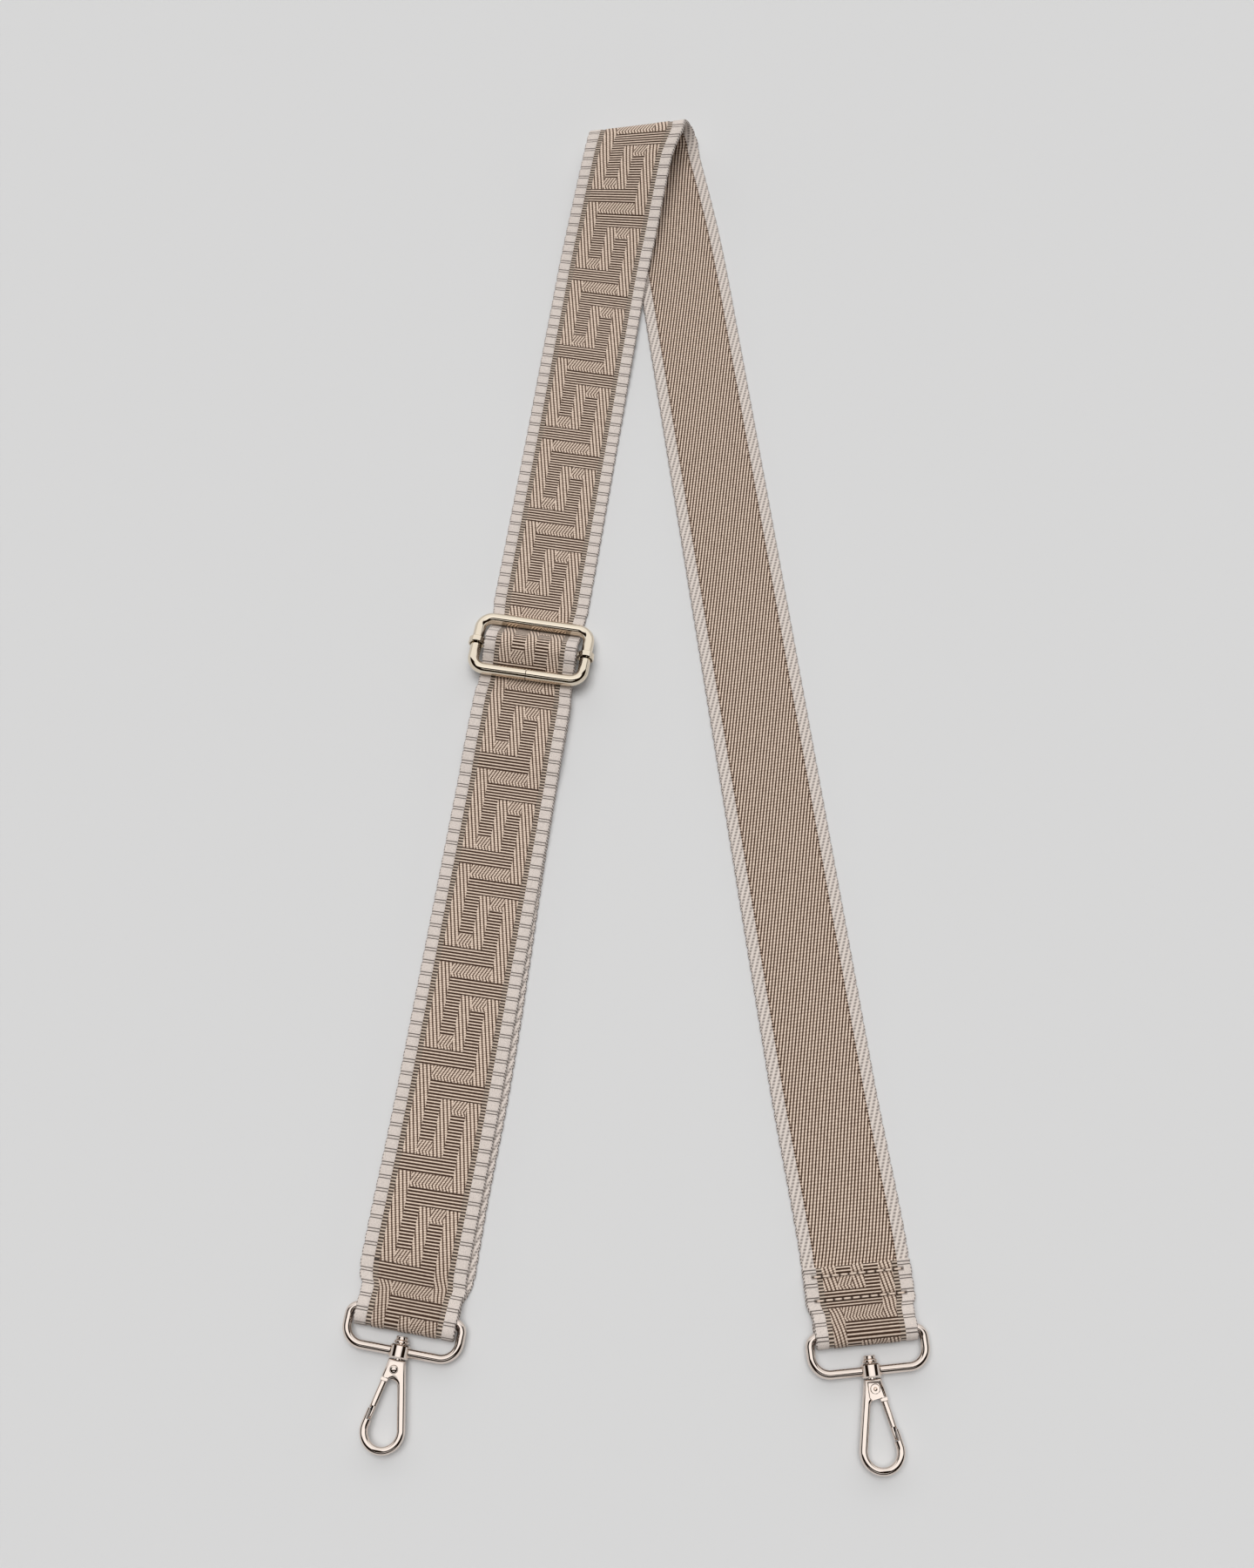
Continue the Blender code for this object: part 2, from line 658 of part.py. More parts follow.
def make_top_fold(left_leg, right_leg, strap):
    edges = []
    for offset, bulge in ((0, FOLD_NOSE_LEFT), (3, FOLD_NOSE_RIGHT)):
        top = fold_edge(FOLD_TOP_SHARES, offset, left_leg.matrix_basis)
        under = fold_edge(FOLD_UNDER_SHARES, offset, right_leg.matrix_basis)
        stations = top + nose_points(top[-1], under[0], bulge) + under
        edges.append(smooth_curve(stations, FOLD_STEPS_BETWEEN))
    return ribbon("web_top_fold", list(zip(*edges)), strap, FOLD_STRIPS)


# Slider

def corner(centre, radius, start_degrees):
    """A quarter of a circle, turning left from its start angle."""
    angles = [math.radians(start_degrees + 90 * i / CORNER_STEPS) for i in range(CORNER_STEPS + 1)]
    return [(centre[0] + radius * math.cos(a), centre[1] + radius * math.sin(a)) for a in angles]


def make_slider_frame(plane):
    half_width = (FRAME_WIDTH - FRAME_WIRE) / 2
    half_height = FRAME_PITCH / 2
    x, y = half_width - FRAME_CORNER_RADIUS, half_height - FRAME_CORNER_RADIUS
    path = [(FRAME_SEAM / 2, -half_height)]
    for centre, start in (((x, -y), -90), ((x, y), 0), ((-x, y), 90), ((-x, -y), 180)):
        path += corner(centre, FRAME_CORNER_RADIUS, start)
    path.append((-FRAME_SEAM / 2, -half_height))
    mesh = wire_mesh("slider_frame", [(px, py, 0.0) for px, py in path], FRAME_WIRE)
    item = add_object("slider_frame", mesh, plane)
    smooth(item)
    return item


def make_slider_bar(plane):
    side = (FRAME_WIDTH - FRAME_WIRE) / 2
    bore = FRAME_WIRE + 2 * FIT_GAP
    outer = bore + 2 * EYE_WALL
    rod_end = side - (bore + outer) / 4
    mesh = wire_mesh("slider_centre_bar", [(-rod_end, 0.0, 0.0), (rod_end, 0.0, 0.0)], BAR_DIAMETER)
    item = add_object("slider_centre_bar", mesh, plane)
    for x in (-side, side):
        boolean(item, cylinder("eye", outer, EYE_LENGTH, plane, (x, 0.0, 0.0), "Y"), "UNION")
    for x in (-side, side):
        length = EYE_LENGTH + CUT_OVERRUN
        boolean(item, cylinder("eye_bore", bore, length, plane, (x, 0.0, 0.0), "Y"), "DIFFERENCE")
    return item


# Ring and swivel

def make_ring(name, end):
    """Wire ring with its top bar on the frame's x axis and the swivel boss on its bottom bar."""
    half = (RING_WIDTH - RING_WIRE) / 2
    top_x, bottom_x = half - RING_TOP_CORNER, half - RING_BOTTOM_CORNER
    low = -RING_SPACING
    path = []
    for centre, radius, start in (((bottom_x, low + RING_BOTTOM_CORNER), RING_BOTTOM_CORNER, -90),
                                  ((top_x, -RING_TOP_CORNER), RING_TOP_CORNER, 0),
                                  ((-top_x, -RING_TOP_CORNER), RING_TOP_CORNER, 90),
                                  ((-bottom_x, low + RING_BOTTOM_CORNER), RING_BOTTOM_CORNER, 180)):
        path += corner(centre, radius, start)
    mesh = wire_mesh(name, [(x, y, 0.0) for x, y in path], RING_WIRE, cyclic=True)
    item = add_object(name, mesh, end)
    radius, half_length = BOSS_DIAMETER / 2, BOSS_LENGTH / 2
    rim, shoulder = radius - BOSS_CHAMFER, half_length - BOSS_CHAMFER
    profile = [(0.0, half_length), (rim, half_length), (radius, shoulder),
               (radius, -shoulder), (rim, -half_length), (0.0, -half_length)]
    boss = bpy.data.objects.new(name + "_boss", turned_mesh(name + "_boss", profile))
    boss.parent = end
    boss.matrix_basis = Matrix.Translation((0.0, low, 0.0)) @ Matrix.Rotation(math.pi / 2, 4, "X")
    CUTTERS.objects.link(boss)
    boolean(item, boss, "UNION")
    bore = POST_DIAMETER + 2 * FIT_GAP
    length = BOSS_LENGTH + CUT_OVERRUN
    boolean(item, cylinder(name + "_bore", bore, length, end, (0.0, low, 0.0), "Y"), "DIFFERENCE")
    return item


def upright(profile_mesh):
    """Turns a mesh made round z so that its axis lies along y, its top towards the webbing."""
    profile_mesh.transform(Matrix.Rotation(-math.pi / 2, 4, "X"))
    return profile_mesh


def make_post(name, swivel):
    """Pin through the boss: a cap and collar above it, and a shank down into the hook's head."""
    cap, collar, shank = POST_CAP_DIAMETER / 2, POST_COLLAR_DIAMETER / 2, POST_DIAMETER / 2
    seat = BOSS_LENGTH / 2 + FIT_GAP
    collar_top = seat + POST_COLLAR_LENGTH
    cap_top = collar_top + POST_CAP_LENGTH
    foot = -(BOSS_LENGTH / 2 + HEAD_TOP_WALL)
    profile = [(0.0, cap_top), (cap - POST_CHAMFER, cap_top), (cap, cap_top - POST_CHAMFER),
               (cap, collar_top), (collar - POST_CHAMFER, collar_top), (collar, collar_top - POST_CHAMFER),
               (collar, seat), (shank, seat), (shank, foot), (0.0, foot)]
    item = add_object(name, upright(turned_mesh(name, profile)), swivel)
    smooth(item)
    return item


# Snap hook, drawn with its swivel axis along y and the ring's bottom bar at the origin

HEAD_TOP = -(BOSS_LENGTH / 2 + FIT_GAP)
ARC_RADIUS = HOOK_WIDTH / 2
ARC_CENTRE = HEAD_TOP - (HOOK_LENGTH - ARC_RADIUS)
SHOULDER = HOOK_TOP_WIDTH / 2
SHOULDER_TO_ARC = math.hypot(SHOULDER, HEAD_TOP - ARC_CENTRE)
FLANK_ANGLE = math.asin(ARC_RADIUS / SHOULDER_TO_ARC) - math.atan2(SHOULDER, HEAD_TOP - ARC_CENTRE)
EYE_RADIUS = ARC_RADIUS - HOOK_WALL
EYE_TOP = HEAD_TOP - HEAD_LENGTH
EYE_TOP_RADIUS = ((EYE_RADIUS - (EYE_TOP - ARC_CENTRE) * math.sin(FLANK_ANGLE))
                  / (1.0 - math.sin(FLANK_ANGLE)))
EYE_TOP_CENTRE = EYE_TOP - EYE_TOP_RADIUS
RIVET_X = -RIVET_SIDE_OFFSET
RIVET_Y = HEAD_TOP - RIVET_DEPTH


def on_flank(inward, down):
    """A point given by its distance in from the gate's flank and its distance down from the shoulder."""
    x = -SHOULDER + inward * math.cos(FLANK_ANGLE) - down * math.sin(FLANK_ANGLE)
    y = HEAD_TOP - inward * math.sin(FLANK_ANGLE) - down * math.cos(FLANK_ANGLE)
    return x, y


def arc(centre, radius, start, end, steps=OUTLINE_STEPS):
    angles = [start + (end - start) * i / steps for i in range(steps + 1)]
    return [(centre[0] + radius * math.cos(a), centre[1] + radius * math.sin(a)) for a in angles]


def hook_outlines():
    """Outer outline and eye of the hook: two round ends joined by straight flanks."""
    low = (0.0, ARC_CENTRE)
    outer = [(SHOULDER, HEAD_TOP), (-SHOULDER, HEAD_TOP)]
    outer += arc(low, ARC_RADIUS, math.pi - FLANK_ANGLE, 2 * math.pi + FLANK_ANGLE)
    eye = arc(low, EYE_RADIUS, math.pi - FLANK_ANGLE, 2 * math.pi + FLANK_ANGLE)
    eye += arc((0.0, EYE_TOP_CENTRE), EYE_TOP_RADIUS, FLANK_ANGLE, math.pi - FLANK_ANGLE, CORNER_STEPS + 1)
    return outer, eye[::-1]


def prism_cutter(name, outline, thickness, parent, z=0.0):
    mesh = plate_mesh(name, [outline], thickness)
    mesh.transform(Matrix.Translation((0.0, 0.0, z)))
    item = bpy.data.objects.new(name, mesh)
    item.parent = parent
    CUTTERS.objects.link(item)
    return item


def make_hook(name, swivel):
    item = add_object(name, plate_mesh(name, hook_outlines(), HOOK_THICKNESS, HOOK_ROUNDING), swivel)
    outside = -CUT_OVERRUN
    through = HOOK_THICKNESS + CUT_OVERRUN
    lap = GATE_INSET + GATE_WIDTH - GATE_TONGUE_WIDTH - FIT_GAP
    window = [on_flank(outside, GATE_FOOT_CUT), on_flank(outside, GATE_LAP_START + FIT_GAP),
              on_flank(lap, GATE_LAP_START + FIT_GAP), on_flank(lap, GATE_LAP_END + FIT_GAP),
              on_flank(HOOK_WALL + CUT_OVERRUN, GATE_LAP_END + FIT_GAP),
              on_flank(HOOK_WALL + CUT_OVERRUN, GATE_FOOT_CUT)]
    boolean(item, prism_cutter(name + "_window", window, through, swivel), "DIFFERENCE")

    slot_top = HEAD_TOP - HEAD_TOP_WALL
    slot = [(SLOT_FAR_SIDE, slot_top), on_flank(outside, HEAD_TOP_WALL),
            on_flank(outside, GATE_FOOT_CUT + CUT_OVERRUN), (SLOT_FAR_SIDE, EYE_TOP - EYE_TOP_RADIUS)]
    boolean(item, prism_cutter(name + "_slot", slot, SLOT_WIDTH, swivel), "DIFFERENCE")

    far = SHOULDER - POCKET_RIM
    pocket = [(far, HEAD_TOP - POCKET_RIM), on_flank(POCKET_RIM, POCKET_RIM),
              on_flank(POCKET_RIM, GATE_FOOT_CUT + CUT_OVERRUN), (0.0, EYE_TOP - CUT_OVERRUN),
              (far, EYE_TOP + POCKET_RIM)]
    depth = POCKET_DEPTH + CUT_OVERRUN
    back = -(HOOK_THICKNESS - POCKET_DEPTH + CUT_OVERRUN) / 2
    boolean(item, prism_cutter(name + "_pocket", pocket, depth, swivel, back), "DIFFERENCE")

    bore = POST_DIAMETER + 2 * FIT_GAP
    length = 2 * (HEAD_TOP_WALL + FIT_GAP)
    top = (0.0, HEAD_TOP, 0.0)
    boolean(item, cylinder(name + "_bore", bore, length, swivel, top, "Y"), "DIFFERENCE")
    hole = RIVET_DIAMETER + 2 * RIVET_PLAY
    place = (RIVET_X, RIVET_Y, 0.0)
    boolean(item, cylinder(name + "_rivet_hole", hole, through, swivel, place), "DIFFERENCE")
    return item


def gate_outline():
    """The gate from the side of its hook: a tongue, a straight bar and a disc round the rivet."""
    outer, inner = GATE_INSET, GATE_INSET + GATE_WIDTH
    tongue = inner - GATE_TONGUE_WIDTH
    points = [on_flank(inner, GATE_TOP), on_flank(inner, GATE_LAP_END), on_flank(tongue, GATE_LAP_END),
              on_flank(tongue, GATE_LAP_START), on_flank(outer, GATE_LAP_START), on_flank(outer, GATE_TOP)]
    return points + arc((RIVET_X, RIVET_Y), GATE_DISC_RADIUS, math.radians(160), math.radians(-45))


def make_gate(name, hinge):
    """Gate with its rivet hole at the hinge's origin, and a round space on one side for the spring."""
    mesh = plate_mesh(name, [gate_outline()], GATE_THICKNESS, GATE_ROUNDING)
    mesh.transform(Matrix.Translation((-RIVET_X, -RIVET_Y, 0.0)))
    item = add_object(name, mesh, hinge)
    room = 2 * (GATE_DISC_RADIUS + FIT_GAP)
    depth = GATE_THICKNESS - GATE_DISC_THICKNESS
    centre = (0.0, 0.0, -(GATE_DISC_THICKNESS + CUT_OVERRUN) / 2)
    boolean(item, cylinder(name + "_spring_room", room, depth + CUT_OVERRUN, hinge, centre), "DIFFERENCE")
    hole = RIVET_DIAMETER + 2 * RIVET_PLAY
    boolean(item, cylinder(name + "_hole", hole, GATE_THICKNESS + CUT_OVERRUN, hinge), "DIFFERENCE")
    return item


def make_rivet(name, hinge):
    """Rivet with a domed head on the front and a recessed ring head in the pocket behind."""
    half = HOOK_THICKNESS / 2
    shank, head, ring = RIVET_DIAMETER / 2, RIVET_HEAD_DIAMETER / 2, RIVET_RING_DIAMETER / 2
    seat, back = half + RIVET_PLAY, -(half - POCKET_DEPTH + RIVET_PLAY)
    recess = RIVET_RECESS_DIAMETER / 2
    dome = [(head * math.sin(a), seat + RIVET_DOME_HEIGHT * math.cos(a))
            for a in (math.pi / 2 * i / 4 for i in range(5))]
    low = back - RIVET_RING_HEIGHT
    profile = dome + [(shank, seat), (shank, back), (ring, back), (ring, low), (recess, low),
                      (recess, low + RIVET_RECESS_DEPTH), (0.0, low + RIVET_RECESS_DEPTH)]
    item = add_object(name, turned_mesh(name, profile), hinge)
    smooth(item)
    return item


def make_spring(name, hinge):
    """Torsion spring round the rivet, its two short legs pointing down the hook."""
    low = -(GATE_THICKNESS / 2)
    count = SPRING_TURNS * SPRING_STEPS
    points = []
    for i in range(count + 1):
        angle = 2 * math.pi * i / SPRING_STEPS
        height = low + SPRING_PITCH * i / SPRING_STEPS
        points.append((SPRING_RADIUS * math.cos(angle), SPRING_RADIUS * math.sin(angle), height))
    first, last = points[0], points[-1]
    points.insert(0, (first[0], first[1] - SPRING_LEG, first[2]))
    points.append((last[0], last[1] + SPRING_LEG / 2, last[2]))
    mesh = wire_mesh(name, points, SPRING_WIRE, resolution=SPRING_RESOLUTION)
    return add_object(name, mesh, hinge, SPRING_STEEL, 0.35, 1.0)


def make_clip(side, end, about_axis):
    """One ring with its swivel hook; about_axis turns the hook round its post."""
    make_ring(side + "_ring", end)
    spin = Matrix.Translation((0.0, -RING_SPACING, 0.0)) @ Matrix.Rotation(about_axis, 4, "Y")
    swivel = frame(side + "_swivel", spin, end)
    make_post(side + "_swivel_post", swivel)
    make_hook(side + "_snap_hook", swivel)
    hinge = frame(side + "_gate_hinge", Matrix.Translation((RIVET_X, RIVET_Y, 0.0)), swivel)
    make_gate(side + "_gate", hinge)
    make_rivet(side + "_gate_rivet", hinge)
    make_spring(side + "_gate_spring", hinge)


def centre_on_table(strap):
    """Moves the whole strap so that it lies centred on the origin."""
    bpy.context.view_layer.update()
    graph = bpy.context.evaluated_depsgraph_get()
    corners = []
    for item in STRAP.objects:
        if item.type == "MESH":
            shape = item.evaluated_get(graph)
            corners += [shape.matrix_world @ vertex.co for vertex in shape.data.vertices]
    for axis in range(2):
        values = [corner_point[axis] for corner_point in corners]
        strap.location[axis] = -(min(values) + max(values)) / 2


def build():
    strap = frame("strap", Matrix.Identity(4))
    left_leg = leg_frame("left_leg", -LEFT_LEAN_DEGREES, strap)
    right_leg = leg_frame("right_leg", RIGHT_LEAN_DEGREES, strap)
    left_place = end_matrix(LEFT_LEG_LENGTH, LEFT_LOOP_SLACK, LEFT_END_TURN_DEGREES)
    right_place = end_matrix(RIGHT_LEG_LENGTH, RIGHT_LOOP_SLACK, RIGHT_END_TURN_DEGREES)
    left_end = frame("left_end", left_place, left_leg)
    right_end = frame("right_end", right_place, right_leg)
    slider = frame("slider", slider_matrix(), left_leg)
    tilted = Matrix.Translation((0.0, 0.0, BAR_AXIS)) @ Matrix.Rotation(-FRAME_TILT, 4, "X")
    plane = frame("slider_plane", tilted, slider)

    make_top_fold(left_leg, right_leg, strap)
    make_upper_run(left_leg)
    make_slider_bridge(slider)
    make_front_run(left_leg, left_place)
    make_left_end(left_end)
    make_return_run(left_leg, left_place)
    make_slider_tail_loop(slider)
    make_right_run(right_leg, right_place)
    make_right_end(right_end)
    make_slider_frame(plane)
    make_slider_bar(plane)
    make_clip("left", left_end, 0.0)
    make_clip("right", right_end, math.pi)
    centre_on_table(strap)


build()
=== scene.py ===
"""Looks of the detachable bag strap: jacquard webbing with a key pattern, and polished pale gold fittings.

Lengths are in metres. Each leg is drawn in a frame of its own: x across the webbing, y up the leg towards
the top fold, z up from the table. Along the webbing, places are counted from its raw edge at the right ring.
"""

import json
import math
from functools import partialmethod

import bmesh
import bpy
import numpy as np
from mathutils import Matrix, Vector


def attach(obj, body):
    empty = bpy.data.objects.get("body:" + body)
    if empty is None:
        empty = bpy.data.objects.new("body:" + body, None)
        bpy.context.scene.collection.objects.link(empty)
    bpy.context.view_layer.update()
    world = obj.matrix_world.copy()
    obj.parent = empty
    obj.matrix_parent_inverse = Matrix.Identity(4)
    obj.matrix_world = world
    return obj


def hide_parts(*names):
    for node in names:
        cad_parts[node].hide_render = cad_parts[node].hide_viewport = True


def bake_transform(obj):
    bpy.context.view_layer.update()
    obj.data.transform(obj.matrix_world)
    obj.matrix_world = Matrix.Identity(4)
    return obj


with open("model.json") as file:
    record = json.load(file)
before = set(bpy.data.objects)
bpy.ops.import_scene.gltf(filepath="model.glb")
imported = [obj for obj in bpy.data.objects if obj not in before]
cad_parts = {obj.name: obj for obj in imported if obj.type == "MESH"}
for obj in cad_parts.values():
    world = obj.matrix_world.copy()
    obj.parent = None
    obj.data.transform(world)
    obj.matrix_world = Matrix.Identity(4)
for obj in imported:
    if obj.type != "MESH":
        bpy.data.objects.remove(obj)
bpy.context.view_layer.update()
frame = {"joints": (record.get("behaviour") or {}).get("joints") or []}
JOINTS = {joint["name"]: joint for joint in frame["joints"]}

# Webbing
WEB_WIDTH = 0.0378
WEB_THICKNESS = 0.0016
WEB_SLIDER_WIDTH = 0.0362
WEB_RING_WIDTH = 0.0352
FIT_GAP = 0.0003

# Legs, measured down from the point where their centre lines would cross
LEFT_LEAN_DEGREES = 8.73
RIGHT_LEAN_DEGREES = 7.65
LEFT_LEG_LENGTH = 0.5537
RIGHT_LEG_LENGTH = 0.5562
LEFT_END_TURN_DEGREES = -1.5
RIGHT_END_TURN_DEGREES = -2.0
SLIDER_DISTANCE = 0.2970
END_BEND_LENGTH = 0.060
CLIMB_LENGTH = 0.050
LAYER_STEP_LENGTH = 0.014
RETURN_SIDE_BOW = 0.0022
RETURN_BOW_LEAN = 1.5
LEFT_END_SPREAD = 0.0012

# Top fold: stations as shares, down the leg in FOLD_REACH, across in half WEB_WIDTH, rise in
# FOLD_LOOP_HEIGHT, for the left edge and then for the right edge
FOLD_REACH = 0.150
FOLD_LOOP_HEIGHT = 0.0170
FOLD_NOSE_LEFT = 0.0056
FOLD_NOSE_RIGHT = 0.0092
FOLD_TOP_SHARES = (
    (1.000, -1.000, 0.159, 1.000, 1.000, 0.159),
    (0.890, -1.000, 0.175, 0.890, 1.000, 0.180),
    (0.787, -1.000, 0.212, 0.780, 1.011, 0.235),
    (0.667, -0.974, 0.318, 0.653, 1.058, 0.400),
    (0.560, -0.937, 0.465, 0.540, 1.090, 0.620),
    (0.453, -0.899, 0.588, 0.427, 1.143, 0.860),
    (0.380, -0.873, 0.618, 0.347, 1.291, 1.000),
)
FOLD_UNDER_SHARES = (
    (0.360, -1.291, 0.047, 0.391, 0.857, 0.053),
    (0.453, -1.185, 0.047, 0.467, 0.894, 0.047),
    (0.560, -1.106, 0.047, 0.567, 0.942, 0.047),
    (0.693, -1.026, 0.047, 0.693, 0.984, 0.047),
    (0.850, -1.000, 0.047, 0.850, 1.000, 0.047),
    (1.000, -1.000, 0.047, 1.000, 1.000, 0.047),
)
FOLD_STEPS_BETWEEN = 24

# Webbing round the rings
END_ARM = 0.0160
END_FULL_ARM = 0.0105
RIGHT_LAYER_ARM = 0.0290
RIGHT_TAIL_LENGTH = 0.0268
TAIL_LANDING = 0.0115
TAIL_LANDING_RADIUS = 0.0080

# Slider
FRAME_WIDTH = 0.0472
FRAME_HEIGHT = 0.0279
FRAME_WIRE = 0.0044
FRAME_CORNER_RADIUS = 0.0050
FRAME_SEAM = 0.0003
FRAME_GAP = 0.0006
BAR_DIAMETER = 0.0030
EYE_LENGTH = 0.0028
EYE_WALL = 0.0007
EYE_ROUNDING = 0.0003
SLIDER_ARM = 0.0220
SLIDER_FLAT_ARM = 0.0135
SLIDER_TAIL = 0.0380
TAIL_LAYER_ARM = 0.0420

# Stitches
STITCH_LENGTH = 0.0031
STITCH_BEND = 0.0005
STITCH_DIP = 0.0008
THREAD_DIAMETER = 0.00065
THREAD_RISE = 0.00035
STITCH_ROW_WIDTH = 0.0310
FIRST_ROW_FROM_EDGE = 0.0030
SECOND_ROW_FROM_EDGE = 0.0110

# Ring
RING_WIRE = 0.0031
RING_WIDTH = 0.0423
RING_SPACING = 0.0125
RING_TOP_CORNER = 0.0032
RING_BOTTOM_CORNER = 0.0062
RING_PLAY = 0.0004
LEFT_LOOP_SLACK = 0.0026
RIGHT_LOOP_SLACK = 0.0005
BOSS_DIAMETER = 0.0070
BOSS_LENGTH = 0.0046
BOSS_CHAMFER = 0.0005

# Swivel post
POST_DIAMETER = 0.0024
POST_CAP_DIAMETER = 0.0041
POST_CAP_LENGTH = 0.0014
POST_COLLAR_DIAMETER = 0.0051
POST_COLLAR_LENGTH = 0.0010
POST_CHAMFER = 0.0003
CROWN_RISE_SHARE = 0.4
CROWN_MIDDLE_SHARE = 0.5
SOFT_CORNER_SHARE = 0.3

# Snap hook, seen from its front: a tapered eye with the gate along its left flank
HOOK_LENGTH = 0.0309
HOOK_WIDTH = 0.0153
HOOK_TOP_WIDTH = 0.0058
HOOK_THICKNESS = 0.0040
HOOK_WALL = 0.00275
HOOK_ROUNDING = 0.0011
HEAD_LENGTH = 0.0069
HEAD_TOP_WALL = 0.0012
SLOT_WIDTH = 0.0026
SLOT_FAR_SIDE = 0.0015
POCKET_DEPTH = 0.0005
POCKET_RIM = 0.0008
POCKET_FILLET = 0.00045

# Gate
GATE_WIDTH = 0.0022
GATE_INSET = 0.00025
GATE_THICKNESS = 0.0021
GATE_ROUNDING = 0.0007
GATE_TOP = 0.0056
GATE_LAP_START = 0.0166
GATE_LAP_END = 0.0202
GATE_TONGUE_WIDTH = 0.0011
GATE_DISC_RADIUS = 0.0015
GATE_FOOT_CUT = 0.0060
GATE_DISC_FROM_DEGREES = 160
GATE_DISC_TO_DEGREES = -45
COLLAR_START = 0.0062
COLLAR_LENGTH = 0.0013
COLLAR_RISE = 0.0003

# Gate rivet and spring
RIVET_DEPTH = 0.00335
RIVET_SIDE_OFFSET = 0.0004
RIVET_DIAMETER = 0.0014
RIVET_HEAD_DIAMETER = 0.0030
RIVET_DOME_HEIGHT = 0.0006
RIVET_RING_DIAMETER = 0.0034
RIVET_RING_HEIGHT = 0.0004
RIVET_RECESS_DIAMETER = 0.0014
RIVET_RECESS_DEPTH = 0.0005
RECESS_FLOOR_SHARE = 0.4
RIVET_RING_CHAMFER = 0.00025
RIVET_PLAY = 0.0002
SPRING_WIRE = 0.00025
SPRING_RADIUS = 0.00128
SPRING_PITCH = 0.00042
SPRING_TURNS = 2
SPRING_LEG = 0.0007

# Weave of the front: the ribs set the unit along the webbing
RIB = 0.001155
KEY_REPEAT = 33
KEY_BAR_FROM = 2.20
KEY_BAR_TO = 7.60
KEY_COLUMN_TO = 20.95
KEY_BAND_SHARE = 0.20
KEY_COLUMN_SHARE = 0.41
CELL_RIBS = 4
CELL_LINE_FROM = 0.45
CELL_LINE_WIDTH = 0.15
CELL_PHASE = 0.5
PANEL_HALF = 0.01225
LADDER_HALF = 0.01415
TWILL_PITCH = 0.00138
TWILL_SLOPE = 0.23
HERRINGBONE_PITCH = 0.00118
HERRINGBONE_SLOPE = 0.50
TAIL_PATTERN_OFFSET = 0.0060
HERRINGBONE_TURN = 1.0
TWILL_SHARPNESS = 0.45
TWIST_RIBS = 1.5
TWIST_LINES = 0.5
TWIST_SHARE = 0.42
RIB_SHARPNESS = 1.4
RIB_HEIGHT = 0.86
DASH_SHARPNESS = 1.5
DASH_HEIGHT = 0.85
BORDER_GRAIN = 0.25
PALE_GAIN = 1.6

# Weave of the back
BACK_PANEL_HALF = 0.0144
BACK_LADDER_WIDTH = 0.0006
TWILL_RIBS = 4
BACK_TWILL_PITCH = 0.00120
BACK_BORDER_PITCH = 0.00185
BACK_TWILL_SHARPNESS = 0.7
BEAD_SHARE = 0.4
LADDER_BEADS = 0.6
DOT_SHARPNESS = 0.5
BACK_BORDER_GRAIN = 0.2
BACK_PALE_GAIN = 1.2
RIM_TURN = 1.2
RIM_SHARPNESS = 0.7

# Relief of the webbing's faces
EDGE_ROUNDING = 0.0005
BAND_RISE = 0.00012
LADDER_DEPTH = 0.00018
CELL_RISE = 0.00016
SCALLOP_DEPTH = 0.00040
SEAM_DEPTH = 0.00050
SEAM_HALF = 0.0011
PRESSED_REACH = 0.0065
PRESSED_POWER = 2.0
PILLOW_POWER = 4.0
# How far the painted shade of a stitch groove reaches each side of its row
GROOVE_SHADE_REACH = 0.0011
# Painted shade near the rings' bars: how dark it gets, and how far along the webbing it reaches
END_SHADE = 0.20
END_SHADE_REACH = 0.030
ROW_SPACING = RIB / 2
COLUMN_SPACING = 0.0011
STEP_WIDTH = 0.00024
ROW_MARGIN = 0.2
RIM_DEGREES = (60, 30, 0, -30, -60)

# Fineness of round shapes
ARC_STEP = math.radians(4)
CORNER_STEPS = 16
OUTLINE_STEPS = 56
TURNED_STEPS = 72
WIRE_RESOLUTION = 10
PLATE_RESOLUTION = 5
SPRING_STEPS = 32
FINE_WIRE_RESOLUTION = 3
THREAD_STEPS = 5
NOSE_STEPS = 4
GATE_DISC_STEPS = 24
DOME_STEPS = 12
SHARP_DEGREES = 35
CARVED_SHARP_DEGREES = 28
POST_SHARP_DEGREES = 25
BOSS_SHARP_DEGREES = 20
STRIP_SHARP_DEGREES = 75
CUT_OVERRUN = 0.002
MERGE = 0.00001

# Colours, linear
# The lightest taupe is the yarn's pale colour with painted highlight on the crowns of its threads
TAUPE_LIGHT = (0.850, 0.700, 0.580, 1.0)
TAUPE_MID = (0.385, 0.272, 0.202, 1.0)
# The darkest taupe is painted shade: between the threads, in the stitch grooves, at the thread's dips and
# near the rings' bars
TAUPE_SHADE = (0.040, 0.018, 0.009, 1.0)
BORDER_PALE = (0.720, 0.640, 0.585, 1.0)
BORDER_GREY = (0.160, 0.135, 0.120, 1.0)
BORDER_DARK = (0.035, 0.020, 0.013, 1.0)
LADDER_PALE = (0.780, 0.640, 0.520, 1.0)
THREAD_LIGHT = (0.780, 0.640, 0.530, 1.0)
ROSE_CHAMPAGNE = (0.790, 0.690, 0.620, 1.0)
YELLOW_CHAMPAGNE = (0.810, 0.715, 0.580, 1.0)
SPRING_STEEL = (0.550, 0.550, 0.560, 1.0)
FLOOR_GREY = (0.672, 0.672, 0.672, 1.0)
DARK_SKY = (0.012, 0.007, 0.004, 1.0)
BRIGHT_SKY = (1.260, 1.260, 1.260, 1.0)
